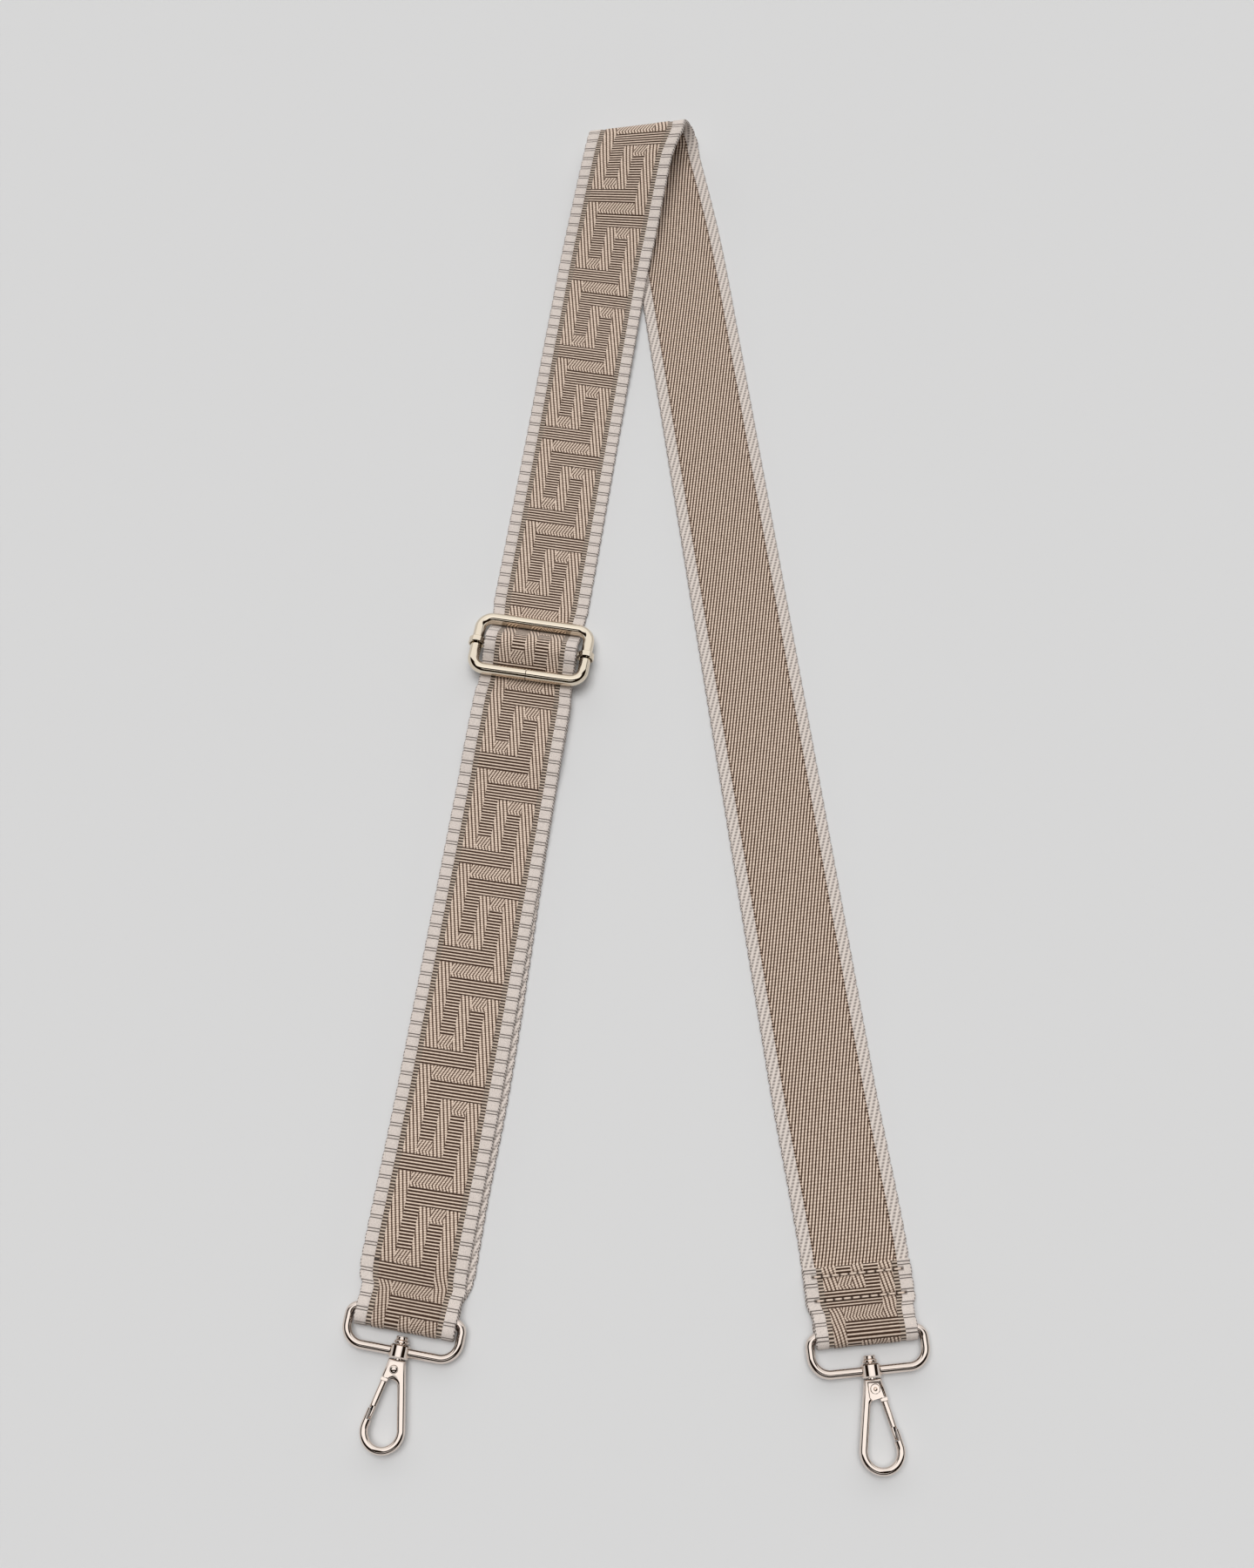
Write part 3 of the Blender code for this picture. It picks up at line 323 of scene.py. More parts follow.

# Surfaces: yarn ramps, which paint shade between the threads and highlight on their crowns, are a gain and an
# offset; bumps are in metres
CLOTH_ROUGHNESS = 0.78
CLOTH_SHEEN = 0.15
CLOTH_SHEEN_ROUGHNESS = 0.5
CLOTH_SPECULAR = 0.3
MID_RAMP = (4.0, -0.8)
LIGHT_RAMP = (2.5, -1.1)
FRAY = 0.25
FRAY_SCALE = 900.0
GRAIN_SCALE = 3500.0
WEAVE_BUMP = 0.00022
RIM_BUMP = 0.00015
# Painted shade over the needle holes in the stitch grooves
HOLE_SHARPNESS = 6.0
HOLE_SHARE = 0.3
THREAD_ROUGHNESS = 0.6
THREAD_GRAIN_SCALE = 5000.0
THREAD_PALE_GAIN = 1.8
THREAD_BUMP = 0.00005
# Painted shade where the thread dips into the webbing
DIP_SHARPNESS = 4.0
PLATING_ROUGHNESS = 0.05
WAVES_SCALE = 160.0
WAVES_DETAIL = 1.0
WAVES_BUMP = 0.00002
HAZE_SCALE = 420.0
HAZE_DETAIL = 3.0
HAZE_LEAST = 0.01
HAZE_RANGE = 0.06
STEEL_ROUGHNESS = 0.3
SCRATCH_SCALE = 2500.0
SCRATCH_LEAST = 0.2
SCRATCH_RANGE = 0.2
FLOOR_ROUGHNESS = 0.9
FLOOR_HALF = 6.0
FLOOR_DROP = 0.00005

# Studio: heights and places are parts of a unit direction
HORIZON_TO = 0.34
HORIZON_LEVEL = 0.53
DARK_BELOW = 0.80
CEILING_SLOPE = 1.2
LIGHT_EDGE = 0.04
BEAM_AT = -0.25
BEAM_HALF = 0.20
SCREEN_FROM = 0.48
SCREEN_LEVEL = 0.80
SUN_FROM = (-0.10, 0.05, 1.0)
SUN_ENERGY = 1.72
SUN_ANGLE_DEGREES = 40

# Photograph: its camera looks down at the table from a point over the hooks
CAMERA_HEIGHT = 0.6427
CAMERA_BACK = 0.2339
CAMERA_TILT_DEGREES = 20.0
CAMERA_LENS = 41.2
CAMERA_SENSOR = 36.0
CAMERA_AXIS_X = -0.00795
CAMERA_AXIS_Y = -0.3469

HEADING_UP_LEG = 0.0
HEADING_DOWN_LEG = math.pi


def smoothstep(share):
    """Eases a share, or an array of them, that is first kept from 0 to 1."""
    share = np.clip(share, 0.0, 1.0)
    return share * share * (3.0 - 2.0 * share)


def eased(low, high, share):
    return low + (high - low) * smoothstep(share)


# Meshes from outlines, wires and profiles

def linked(name, data):
    """A new object in the scene."""
    item = bpy.data.objects.new(name, data)
    bpy.context.scene.collection.objects.link(item)
    return item


def new_piece(name, data, matrix, body, surface, replaced=()):
    """A piece of the object, placed by its frame's matrix, that moves with a body."""
    item = linked(name, data)
    item.matrix_world = matrix
    data.materials.clear()
    data.materials.append(surface)
    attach(item, body)
    if replaced:
        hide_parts(*replaced)


def smooth(mesh, degrees=SHARP_DEGREES):
    mesh.shade_smooth()
    mesh.set_sharp_from_angle(angle=math.radians(degrees))
    return mesh


def evaluated_mesh(holder):
    return bpy.data.meshes.new_from_object(holder.evaluated_get(bpy.context.evaluated_depsgraph_get()))


def curve_mesh(name, splines, cyclic, radius=0.0, resolution=0, extrude=0.0):
    """Mesh of a curve: a round wire, or where extrude is given a flat plate whose rims have that radius."""
    curve = bpy.data.curves.new(name, "CURVE")
    curve.dimensions = "2D" if extrude else "3D"
    curve.fill_mode = "BOTH" if extrude else "FULL"
    curve.extrude = extrude
    curve.offset = -radius if extrude else 0.0
    curve.bevel_depth = radius
    curve.bevel_resolution = resolution
    curve.use_fill_caps = not cyclic
    for points in splines:
        spline = curve.splines.new("POLY")
        spline.points.add(len(points) - 1)
        for point, place in zip(spline.points, points):
            point.co = (*place, 1.0)
        spline.use_cyclic_u = cyclic
    holder = linked(name, curve)
    mesh = evaluated_mesh(holder)
    bpy.data.objects.remove(holder, do_unlink=True)
    bpy.data.curves.remove(curve)
    body = bmesh.new()
    body.from_mesh(mesh)
    bmesh.ops.remove_doubles(body, verts=body.verts, dist=MERGE)
    bmesh.ops.recalc_face_normals(body, faces=body.faces)
    body.to_mesh(mesh)
    body.free()
    return mesh


def plate_mesh(name, outlines, thickness, rounding=0.0):
    flat = [[(x, y, 0.0) for x, y in outline] for outline in outlines]
    return curve_mesh(name, flat, True, rounding, PLATE_RESOLUTION, thickness / 2 - rounding)


def wire_mesh(name, points, diameter, cyclic=False, resolution=WIRE_RESOLUTION):
    return curve_mesh(name, [points], cyclic, radius=diameter / 2, resolution=resolution)


def turned_mesh(name, profile):
    """Mesh turned round z from (radius, height) points that run down the outside from the top."""
    mesh = bpy.data.meshes.new(name)
    edges = [(i, i + 1) for i in range(len(profile) - 1)]
    mesh.from_pydata([(radius, 0.0, height) for radius, height in profile], edges, [])
    holder = linked(name, mesh)
    screw = holder.modifiers.new("turn", "SCREW")
    screw.steps = screw.render_steps = TURNED_STEPS
    screw.use_merge_vertices = True
    screw.merge_threshold = MERGE
    turned = evaluated_mesh(holder)
    bpy.data.objects.remove(holder, do_unlink=True)
    return turned


def upright(mesh):
    """Turns a mesh made round z so that its axis lies along y, its top towards the webbing."""
    mesh.transform(Matrix.Rotation(-math.pi / 2, 4, "X"))
    return mesh


def round_mesh(name, diameter, length, centre=(0.0, 0.0, 0.0), lying=False):
    """A plain round tool along z, or along y where it lies."""
    turn = Matrix.Rotation(math.pi / 2 if lying else 0.0, 4, "X")
    body = bmesh.new()
    bmesh.ops.create_cone(body, cap_ends=True, segments=TURNED_STEPS, radius1=diameter / 2,
                          radius2=diameter / 2, depth=length, matrix=Matrix.Translation(centre) @ turn)
    mesh = bpy.data.meshes.new(name)
    body.to_mesh(mesh)
    body.free()
    return mesh


def moved(mesh, x, y, z):
    mesh.transform(Matrix.Translation((x, y, z)))
    return mesh


def carved(mesh, tools):
    """The mesh after each tool is cut from it."""
    holder = linked(mesh.name, mesh)
    helpers = [linked(tool.name, tool) for tool in tools]
    for helper in helpers:
        step = holder.modifiers.new(helper.name, "BOOLEAN")
        step.object = helper
        step.operation = "DIFFERENCE"
        step.solver = "EXACT"
    made = evaluated_mesh(holder)
    for item in [holder, *helpers]:
        bpy.data.objects.remove(item, do_unlink=True)
    return made


def corner(centre, radius, start_degrees):
    """A quarter of a circle, turning left from its start angle."""
    start = math.radians(start_degrees)
    return arc(centre, radius, start, start + math.pi / 2, CORNER_STEPS)


def arc(centre, radius, start, end, steps=OUTLINE_STEPS):
    angles = [start + (end - start) * i / steps for i in range(steps + 1)]
    return [(centre[0] + radius * math.cos(a), centre[1] + radius * math.sin(a)) for a in angles]


# Fields: the same sums written as nodes, for materials and for the relief of a mesh

class Field:
    """A value that varies over a surface, as a node's output in one tree."""

    def __init__(self, tree, socket):
        self.tree = tree
        self.socket = socket

    def step(self, operation, *others):
        node = self.tree.nodes.new("ShaderNodeMath")
        node.operation = operation
        for place, value in zip(node.inputs, (self, *others)):
            if isinstance(value, Field):
                self.tree.links.new(value.socket, place)
            else:
                place.default_value = value
        return Field(self.tree, node.outputs[0])

    __add__ = partialmethod(step, "ADD")
    __sub__ = partialmethod(step, "SUBTRACT")
    __mul__ = partialmethod(step, "MULTIPLY")
    __truediv__ = partialmethod(step, "DIVIDE")
    size = partialmethod(step, "ABSOLUTE")
    power = partialmethod(step, "POWER")
    highest = partialmethod(step, "MAXIMUM")
    lowest = partialmethod(step, "MINIMUM")
    below = partialmethod(step, "LESS_THAN")
    above = partialmethod(step, "GREATER_THAN")

    def turned_over(self):
        """The field from the other end: 1 minus its value."""
        return self * -1.0 + 1.0

    def wrapped(self, low, high):
        return self.step("WRAP", high, low)

    def inside(self, low, high):
        """1 between low and high, and 0 outside."""
        return self.step("COMPARE", (low + high) / 2, (high - low) / 2)

    def ridges(self):
        """1 at each whole number and 0 half way between."""
        return (self * (2 * math.pi)).step("COSINE") * 0.5 + 0.5

    def limited(self):
        """The field kept from 0 to 1."""
        return self.highest(0.0).lowest(1.0)

    def softened(self, share):
        """A share of the field's variation, still 1 where the field is 1."""
        return self * share + (1.0 - share)

    def towards(self, other, share):
        """This field where share is 0 and the other one where it is 1."""
        return self + (other - self) * share


def hook_of_key(across_share, ribs):
    """One half of the key pattern: a bar across the panel with a column that hangs from its end."""
    bar = across_share.inside(KEY_BAND_SHARE, 1.0) * ribs.inside(KEY_BAR_FROM, KEY_BAR_TO)
    column = across_share.inside(KEY_BAND_SHARE, KEY_COLUMN_SHARE) * ribs.inside(KEY_BAR_FROM, KEY_COLUMN_TO)
    return bar.highest(column)


def key_recess(across, ribs):
    """1 in the key pattern's ribbed recesses and 0 on its raised bands."""
    share = across / (2 * PANEL_HALF) + 0.5
    turn = ribs.wrapped(0.0, KEY_REPEAT)
    return hook_of_key(share, turn).highest(hook_of_key(share.turned_over(), turn * -1.0 + KEY_REPEAT))


def herringbone(across, ribs):
    """Where the key's short cross bands lie, and how far each point is from the line where they turn."""
    share = across / (2 * PANEL_HALF) + 0.5
    half = KEY_BAR_FROM
    low_centre = (KEY_COLUMN_TO + KEY_REPEAT - KEY_BAR_TO) / 2
    low_half = KEY_REPEAT - KEY_BAR_TO - low_centre
    bands = ((0.0, half, KEY_BAND_SHARE, 1.0 - KEY_BAND_SHARE),
             (low_centre, low_half, KEY_BAND_SHARE, KEY_COLUMN_SHARE),
             (KEY_REPEAT - low_centre, low_half, 1.0 - KEY_COLUMN_SHARE, 1.0 - KEY_BAND_SHARE))
    where, distance = None, None
    for centre, reach, near, far in bands:
        local = (ribs - centre).wrapped(-KEY_REPEAT / 2, KEY_REPEAT / 2)
        mask = local.inside(-reach, reach) * share.inside(near, far)
        part = mask * (local - HERRINGBONE_TURN).size()
        where = mask if where is None else where.highest(mask)
        distance = part if distance is None else distance + part
    return where, distance


# Relief of the webbing

def named_field(tree, name):
    """Reads a value kept on the mesh's points, in a geometry tree."""
    node = tree.nodes.new("GeometryNodeInputNamedAttribute")
    node.data_type = "FLOAT"
    node.inputs["Name"].default_value = name
    return Field(tree, node.outputs["Attribute"])


def store(tree, geometry, name, field):
    """Keeps a field on the mesh's points, in a geometry tree."""
    node = tree.nodes.new("GeometryNodeStoreNamedAttribute")
    node.data_type = "FLOAT"
    node.domain = "POINT"
    node.inputs["Name"].default_value = name
    tree.links.new(geometry, node.inputs["Geometry"])
    tree.links.new(field.socket, node.inputs["Value"])
    return node.outputs["Geometry"]


def vector_step(tree, operation, vector, other=None):
    """A node that works on a vector, and on a fixed one where other is given."""
    node = tree.nodes.new("ShaderNodeVectorMath")
    node.operation = operation
    tree.links.new(vector, node.inputs[0])
    if other is not None:
        node.inputs[1].default_value = other
    return node


def in_cell(ribs):
    """Place within a cell of the border, from -0.5 to 0.5."""
    return ((ribs - CELL_PHASE) / CELL_RIBS).wrapped(-0.5, 0.5)


def cell_pillow(ribs):
    """The padded cells of the border: 1 over a cell's middle, 0 at the line between two cells."""
    return (in_cell(ribs) * 2.0).size().power(PILLOW_POWER).turned_over()


def front_relief(across, ribs):
    """Height of the front face, in metres: raised key bands, sunk ladder, padded border cells."""
    reach = across.size()
    panel = reach.below(PANEL_HALF)
    ladder = reach.inside(PANEL_HALF, LADDER_HALF)
    border = reach.above(LADDER_HALF)
    band = key_recess(across, ribs).turned_over() * panel * BAND_RISE
    return band + border * cell_pillow(ribs) * CELL_RISE - ladder * LADDER_DEPTH


def relief(item, along_at_start, start=None, down=None, seams=(), pressed=()):
    """Raises the weave on the webbing, less so where the slider's bars press it.

    A run between two bodies counts its ribs from its start, along its leg. Pressed places count from
    along_at_start.
    """
    tree = bpy.data.node_groups.new(item.name + "_relief", "GeometryNodeTree")
    tree.interface.new_socket("Geometry", in_out="INPUT", socket_type="NodeSocketGeometry")
    tree.interface.new_socket("Geometry", in_out="OUTPUT", socket_type="NodeSocketGeometry")
    geometry = tree.nodes.new("NodeGroupInput").outputs[0]
    if down is not None:
        place = tree.nodes.new("GeometryNodeInputPosition")
        from_start = vector_step(tree, "SUBTRACT", place.outputs[0], start)
        distance = vector_step(tree, "DOT_PRODUCT", from_start.outputs[0], down)
        geometry = store(tree, geometry, "along", Field(tree, distance.outputs["Value"]) + along_at_start)
    across, along, side = (named_field(tree, name) for name in ("across", "along", "side"))
    ribs = along / RIB
    height = side.above(0.5) * front_relief(across, ribs)
    for place in pressed:
        distance = (along - (along_at_start + place)).size()
        height = height * (distance / PRESSED_REACH).lowest(1.0).power(PRESSED_POWER)
    rim = side.size().below(0.5)
    height = height - rim * (cell_pillow(ribs).turned_over() * SCALLOP_DEPTH)
    for seam in seams:
        notch = ((along - seam).size() / SEAM_HALF).turned_over().highest(0.0)
        height = height - side.size() * notch * under_stitches(across) * SEAM_DEPTH
    normal = tree.nodes.new("GeometryNodeInputNormal")
    offset = vector_step(tree, "SCALE", normal.outputs[0])
    tree.links.new(height.socket, offset.inputs["Scale"])
    move = tree.nodes.new("GeometryNodeSetPosition")
    tree.links.new(geometry, move.inputs["Geometry"])
    tree.links.new(offset.outputs[0], move.inputs["Offset"])
    output = tree.nodes.new("NodeGroupOutput")
    tree.links.new(move.outputs[0], output.inputs[0])
    item.modifiers.new("relief", "NODES").node_group = tree


# Materials

def material(name, colour, roughness, metallic):
    made = bpy.data.materials.new(name)
    made.use_nodes = True
    shader = made.node_tree.nodes["Principled BSDF"]
    shader.inputs["Base Color"].default_value = colour
    shader.inputs["Roughness"].default_value = roughness
    shader.inputs["Metallic"].default_value = metallic
    return made, made.node_tree, shader


def attribute_field(tree, name):
    """Reads a value kept on the mesh's points, in a material."""
    node = tree.nodes.new("ShaderNodeAttribute")
    node.attribute_name = name
    return Field(tree, node.outputs["Fac"])


def mixed(tree, share, low, high):
    """A colour between two colours or colour sockets."""
    node = tree.nodes.new("ShaderNodeMix")
    node.data_type = "RGBA"
    tree.links.new(share.socket, node.inputs["Factor"])
    for name, colour in (("A", low), ("B", high)):
        place = [socket for socket in node.inputs if socket.name == name and socket.type == "RGBA"][0]
        if isinstance(colour, bpy.types.NodeSocket):
            tree.links.new(colour, place)
        else:
            place.default_value = colour
    return [socket for socket in node.outputs if socket.type == "RGBA"][0]


def noise(tree, scale, detail=2.0):
    """Noise over the object's own coordinates, from 0 to 1."""
    place = tree.nodes.new("ShaderNodeTexCoord")
    node = tree.nodes.new("ShaderNodeTexNoise")
    node.inputs["Scale"].default_value = scale
    node.inputs["Detail"].default_value = detail
    tree.links.new(place.outputs["Object"], node.inputs["Vector"])
    return Field(tree, node.outputs["Fac"])


def coordinate(tree, space, axis):
    """One coordinate of the object's own space, or of the direction in the world."""
    place = tree.nodes.new("ShaderNodeTexCoord")
    split = tree.nodes.new("ShaderNodeSeparateXYZ")
    tree.links.new(place.outputs[space], split.inputs[0])
    return Field(tree, split.outputs[axis])


def bump(tree, shader, height, distance):
    node = tree.nodes.new("ShaderNodeBump")
    node.inputs["Strength"].default_value = 1.0
    node.inputs["Distance"].default_value = distance
    tree.links.new(height.socket, node.inputs["Height"])
    tree.links.new(node.outputs["Normal"], shader.inputs["Normal"])


def coloured(made, shader, colour, height, distance):
    """The material with its colour linked and its bumps raised."""
    made.node_tree.links.new(colour, shader.inputs["Base Color"])
    bump(made.node_tree, shader, height, distance)
    return made


def cloth(name):
    made, tree, shader = material(name, TAUPE_MID, CLOTH_ROUGHNESS, 0.0)
    shader.inputs["Sheen Weight"].default_value = CLOTH_SHEEN
    shader.inputs["Sheen Roughness"].default_value = CLOTH_SHEEN_ROUGHNESS
    shader.inputs["Specular IOR Level"].default_value = CLOTH_SPECULAR
    return made, tree, shader, attribute_field(tree, "across"), attribute_field(tree, "along")


def taupe(tree, height, fray):
    """The taupe yarn, a little frayed, with painted shade between the threads and a painted highlight on
    their crowns.
    """
    height = (height + (fray - 0.5) * FRAY).limited()
    (mid, mid_from), (light, light_from) = MID_RAMP, LIGHT_RAMP
    dark_to_mid = mixed(tree, (height * mid + mid_from).limited(), TAUPE_SHADE, TAUPE_MID)
    return mixed(tree, (height * light + light_from).limited(), dark_to_mid, TAUPE_LIGHT)


def under_stitches(across):
    """1 across the width that a row of stitches takes, and 0 beside it."""
    return across.size().below(STITCH_ROW_WIDTH / 2 + THREAD_DIAMETER)


def stitch_groove_shade(across, along):
    """Painted shade in the groove of each row of stitches at the right ring, darkest over the needle holes.
    """
    holes = (across / STITCH_LENGTH).ridges().power(HOLE_SHARPNESS).softened(HOLE_SHARE)
    rows = [((along - seam).size() / GROOVE_SHADE_REACH).turned_over().highest(0.0) for seam in RIGHT_SEAMS]
    return rows[0].highest(rows[1]) * holes * under_stitches(across)


def front_weave():
    """Front face: ribs and steep twill in the key pattern, dashed ladder lines and pale padded borders, with
    painted shade near the rings and in the stitch grooves.
    """
    made, tree, shader, across, along = cloth("front_weave")
    fray, grain = noise(tree, FRAY_SCALE), noise(tree, GRAIN_SCALE)
    ribs = along / RIB
    rib = ribs.ridges()
    where, distance = herringbone(across, ribs)
    steep = (across - along * TWILL_SLOPE) / TWILL_PITCH
    chevron = (across - distance * (HERRINGBONE_SLOPE * RIB)) / HERRINGBONE_PITCH
    line = steep.towards(chevron, where)
    twist = (ribs * TWIST_RIBS + line * TWIST_LINES).ridges()
    twill = line.ridges().power(TWILL_SHARPNESS) * twist.softened(TWIST_SHARE)
    panel_height = twill.towards(rib.power(RIB_SHARPNESS) * RIB_HEIGHT, key_recess(across, ribs))
    dash = rib.power(DASH_SHARPNESS) * DASH_HEIGHT
    from_line = in_cell(ribs).size() * -CELL_RIBS + CELL_RIBS / 2
    thin_line = from_line.inside(CELL_LINE_FROM - CELL_LINE_WIDTH, CELL_LINE_FROM + CELL_LINE_WIDTH)
    border_height = thin_line.turned_over().towards(grain, BORDER_GRAIN)
    in_panel = across.size().below(PANEL_HALF)
    in_border = across.size().above(LADDER_HALF)
    height = dash.towards(panel_height, in_panel).towards(border_height, in_border)
    # Painted shade: the panel darkens towards the shade colour near the rings' bars
    shade = attribute_field(tree, "ring_shade") * END_SHADE
    panel_colour = mixed(tree, shade, taupe(tree, height, fray), TAUPE_SHADE)
    ladder_colour = mixed(tree, dash, BORDER_DARK, LADDER_PALE)
    pale = mixed(tree, grain, BORDER_GREY, BORDER_PALE)
    pale = mixed(tree, (grain * PALE_GAIN).lowest(1.0), pale, BORDER_PALE)
    border_colour = mixed(tree, thin_line, pale, BORDER_GREY)
    colour = mixed(tree, in_panel, ladder_colour, panel_colour)
    colour = mixed(tree, in_border, colour, border_colour)
    # Painted shade in the grooves of the stitches
    colour = mixed(tree, stitch_groove_shade(across, along), colour, TAUPE_SHADE)
    return coloured(made, shader, colour, height, WEAVE_BUMP)


def back_weave():
    """Back face: beaded steep twill between pale borders of diagonal twill."""
    made, tree, shader, across, along = cloth("back_weave")
    fray, grain = noise(tree, FRAY_SCALE), noise(tree, GRAIN_SCALE)
    ribs = along / RIB
    turn = ribs / TWILL_RIBS
    beads = ribs.ridges()
    twill = (across / BACK_TWILL_PITCH - turn).ridges().power(BACK_TWILL_SHARPNESS)
    twill = twill * beads.softened(BEAD_SHARE)
    in_ladder = across.size().inside(BACK_PANEL_HALF - BACK_LADDER_WIDTH, BACK_PANEL_HALF)
    twill = twill.towards(beads * LADDER_BEADS, in_ladder)
    dots = (across / BACK_BORDER_PITCH - turn).ridges() * beads.turned_over().power(DOT_SHARPNESS)
    border_height = dots.turned_over().towards(grain, BACK_BORDER_GRAIN)
    in_border = across.size().above(BACK_PANEL_HALF)
    height = twill.towards(border_height, in_border)
    border_colour = mixed(tree, (border_height * BACK_PALE_GAIN).lowest(1.0), BORDER_GREY, BORDER_PALE)
    colour = mixed(tree, in_border, taupe(tree, height, fray), border_colour)
    return coloured(made, shader, colour, height, WEAVE_BUMP)


def rim_weave():
    """The woven edge: pale yarn wound with dark turns."""
    made, tree, shader, _, along = cloth("rim_weave")
    turn = (along / RIB + attribute_field(tree, "rise") / (WEB_THICKNESS * RIM_TURN)).ridges()
    colour = mixed(tree, turn.power(RIM_SHARPNESS), BORDER_DARK, BORDER_PALE)
    return coloured(made, shader, colour, turn, RIM_BUMP)


def thread_cloth():
    """Sewing thread in its own colour on top of each stitch, with painted shade where it dips into the
    webbing.
    """
    made, tree, shader = material("sewing_thread", THREAD_LIGHT, THREAD_ROUGHNESS, 0.0)
    grain = noise(tree, THREAD_GRAIN_SCALE)
    dip_shade = (coordinate(tree, "Object", "X") / STITCH_LENGTH).ridges().power(DIP_SHARPNESS)
    colour = mixed(tree, grain, TAUPE_MID, THREAD_LIGHT)
    colour = mixed(tree, (grain * THREAD_PALE_GAIN).lowest(1.0), colour, THREAD_LIGHT)
    # Painted shade at each dip of the thread
    colour = mixed(tree, dip_shade, colour, TAUPE_SHADE)
    return coloured(made, shader, colour, grain, THREAD_BUMP)


def pale_gold(name, colour):
    """Polished plating with the faintest waves and a little haze where fingers rub it."""
    made, tree, shader = material(name, colour, PLATING_ROUGHNESS, 1.0)
    haze = noise(tree, HAZE_SCALE, HAZE_DETAIL) * HAZE_RANGE + HAZE_LEAST
    tree.links.new(haze.socket, shader.inputs["Roughness"])
    bump(tree, shader, noise(tree, WAVES_SCALE, WAVES_DETAIL), WAVES_BUMP)
    return made


def spring_steel():
    made, tree, shader = material("spring_wire_steel", SPRING_STEEL, STEEL_ROUGHNESS, 1.0)
    scratches = noise(tree, SCRATCH_SCALE) * SCRATCH_RANGE + SCRATCH_LEAST
    tree.links.new(scratches.socket, shader.inputs["Roughness"])
    return made


# Frames of the legs, ring ends, swivels and gate hinges

RING_BORE_RADIUS = RING_WIRE / 2 + RING_PLAY
RING_AXIS_HEIGHT = RING_BORE_RADIUS + WEB_THICKNESS
RING_TURN_RADIUS = RING_BORE_RADIUS + WEB_THICKNESS / 2
END_OUTER_RADIUS = RING_BORE_RADIUS + WEB_THICKNESS
LAYER_PITCH = WEB_THICKNESS + FIT_GAP
RIGHT_TAIL_END = RIGHT_TAIL_LENGTH - END_OUTER_RADIUS - RIGHT_LOOP_SLACK
ROWS_FROM_EDGE = (FIRST_ROW_FROM_EDGE, SECOND_ROW_FROM_EDGE)
RIGHT_SEAMS = [row + TAIL_PATTERN_OFFSET - RIGHT_TAIL_END for row in ROWS_FROM_EDGE]
FIRST_LAYER = WEB_THICKNESS / 2
SECOND_LAYER = FIRST_LAYER + LAYER_PITCH
THIRD_LAYER = SECOND_LAYER + LAYER_PITCH
FRAME_PITCH = FRAME_HEIGHT - FRAME_WIRE
FRAME_TOP_AXIS = WEB_THICKNESS + FRAME_GAP + FRAME_WIRE / 2
FRAME_BOTTOM_AXIS = FRAME_TOP_AXIS + 2 * LAYER_PITCH
FRAME_TILT = math.asin((FRAME_BOTTOM_AXIS - FRAME_TOP_AXIS) / FRAME_PITCH)
FRAME_HALF_SPAN = FRAME_PITCH / 2 * math.cos(FRAME_TILT)
BAR_AXIS = (FRAME_TOP_AXIS + FRAME_BOTTOM_AXIS) / 2
FRAME_TURN_RADIUS = FRAME_WIRE / 2 + FRAME_GAP + WEB_THICKNESS / 2
BAR_TURN_RADIUS = BAR_DIAMETER / 2 + FIT_GAP + WEB_THICKNESS / 2
BRIDGE_TURN_RADIUS = BAR_TURN_RADIUS + LAYER_PITCH


def end_matrix(leg_length, slack, turn_degrees):
    """Place of a ring's top bar in its leg's frame, turned with the webbing that holds it."""
    place = Matrix.Translation((0.0, -(leg_length - END_OUTER_RADIUS - slack), RING_AXIS_HEIGHT))
    return place @ Matrix.Rotation(math.radians(turn_degrees), 4, "Z")


def leg_turn(lean_degrees):
    return Matrix.Rotation(math.radians(lean_degrees), 4, "Z")


LEFT_PLACE = end_matrix(LEFT_LEG_LENGTH, LEFT_LOOP_SLACK, LEFT_END_TURN_DEGREES)
RIGHT_PLACE = end_matrix(RIGHT_LEG_LENGTH, RIGHT_LOOP_SLACK, RIGHT_END_TURN_DEGREES)
APEX = Vector(JOINTS["right_ring_swing"]["pos_m"]) - (leg_turn(RIGHT_LEAN_DEGREES) @ RIGHT_PLACE).translation
STRAP = Matrix.Translation(APEX)
LEFT_LEG = STRAP @ leg_turn(-LEFT_LEAN_DEGREES)
RIGHT_LEG = STRAP @ leg_turn(RIGHT_LEAN_DEGREES)
LEFT_END = LEFT_LEG @ LEFT_PLACE
RIGHT_END = RIGHT_LEG @ RIGHT_PLACE
SLIDER = LEFT_LEG @ Matrix.Translation((0.0, -SLIDER_DISTANCE, 0.0))
SLIDER_PLANE = SLIDER @ Matrix.Translation((0.0, 0.0, BAR_AXIS)) @ Matrix.Rotation(-FRAME_TILT, 4, "X")


FRONT = front_weave()
BACK = back_weave()
RIM = rim_weave()
THREAD = thread_cloth()
GOLD = pale_gold("rose_gold_plating", ROSE_CHAMPAGNE)
SLIDER_GOLD = pale_gold("yellow_gold_plating", YELLOW_CHAMPAGNE)
STEEL = spring_steel()


# Routes of the webbing in the plane along a leg

def heading_between(first, second):
    """Heading of the straight stretch between two round turns, each a centre and a signed radius."""
    (centre_1, radius_1), (centre_2, radius_2) = first, second
    offset = centre_2 - centre_1
    return math.atan2(offset.y, offset.x) - math.asin((radius_2 - radius_1) / offset.length)


def turn_points(centre, radius, arriving, leaving):
    """Points round one turn; a positive radius turns left and a negative one turns right."""
    side = math.copysign(1.0, radius)
    sweep = ((leaving - arriving) * side) % (2 * math.pi) * side
    steps = max(2, math.ceil(abs(sweep) / ARC_STEP))
    headings = [arriving + sweep * i / steps for i in range(steps + 1)]
    return [centre + radius * Vector((math.sin(a), -math.cos(a))) for a in headings]


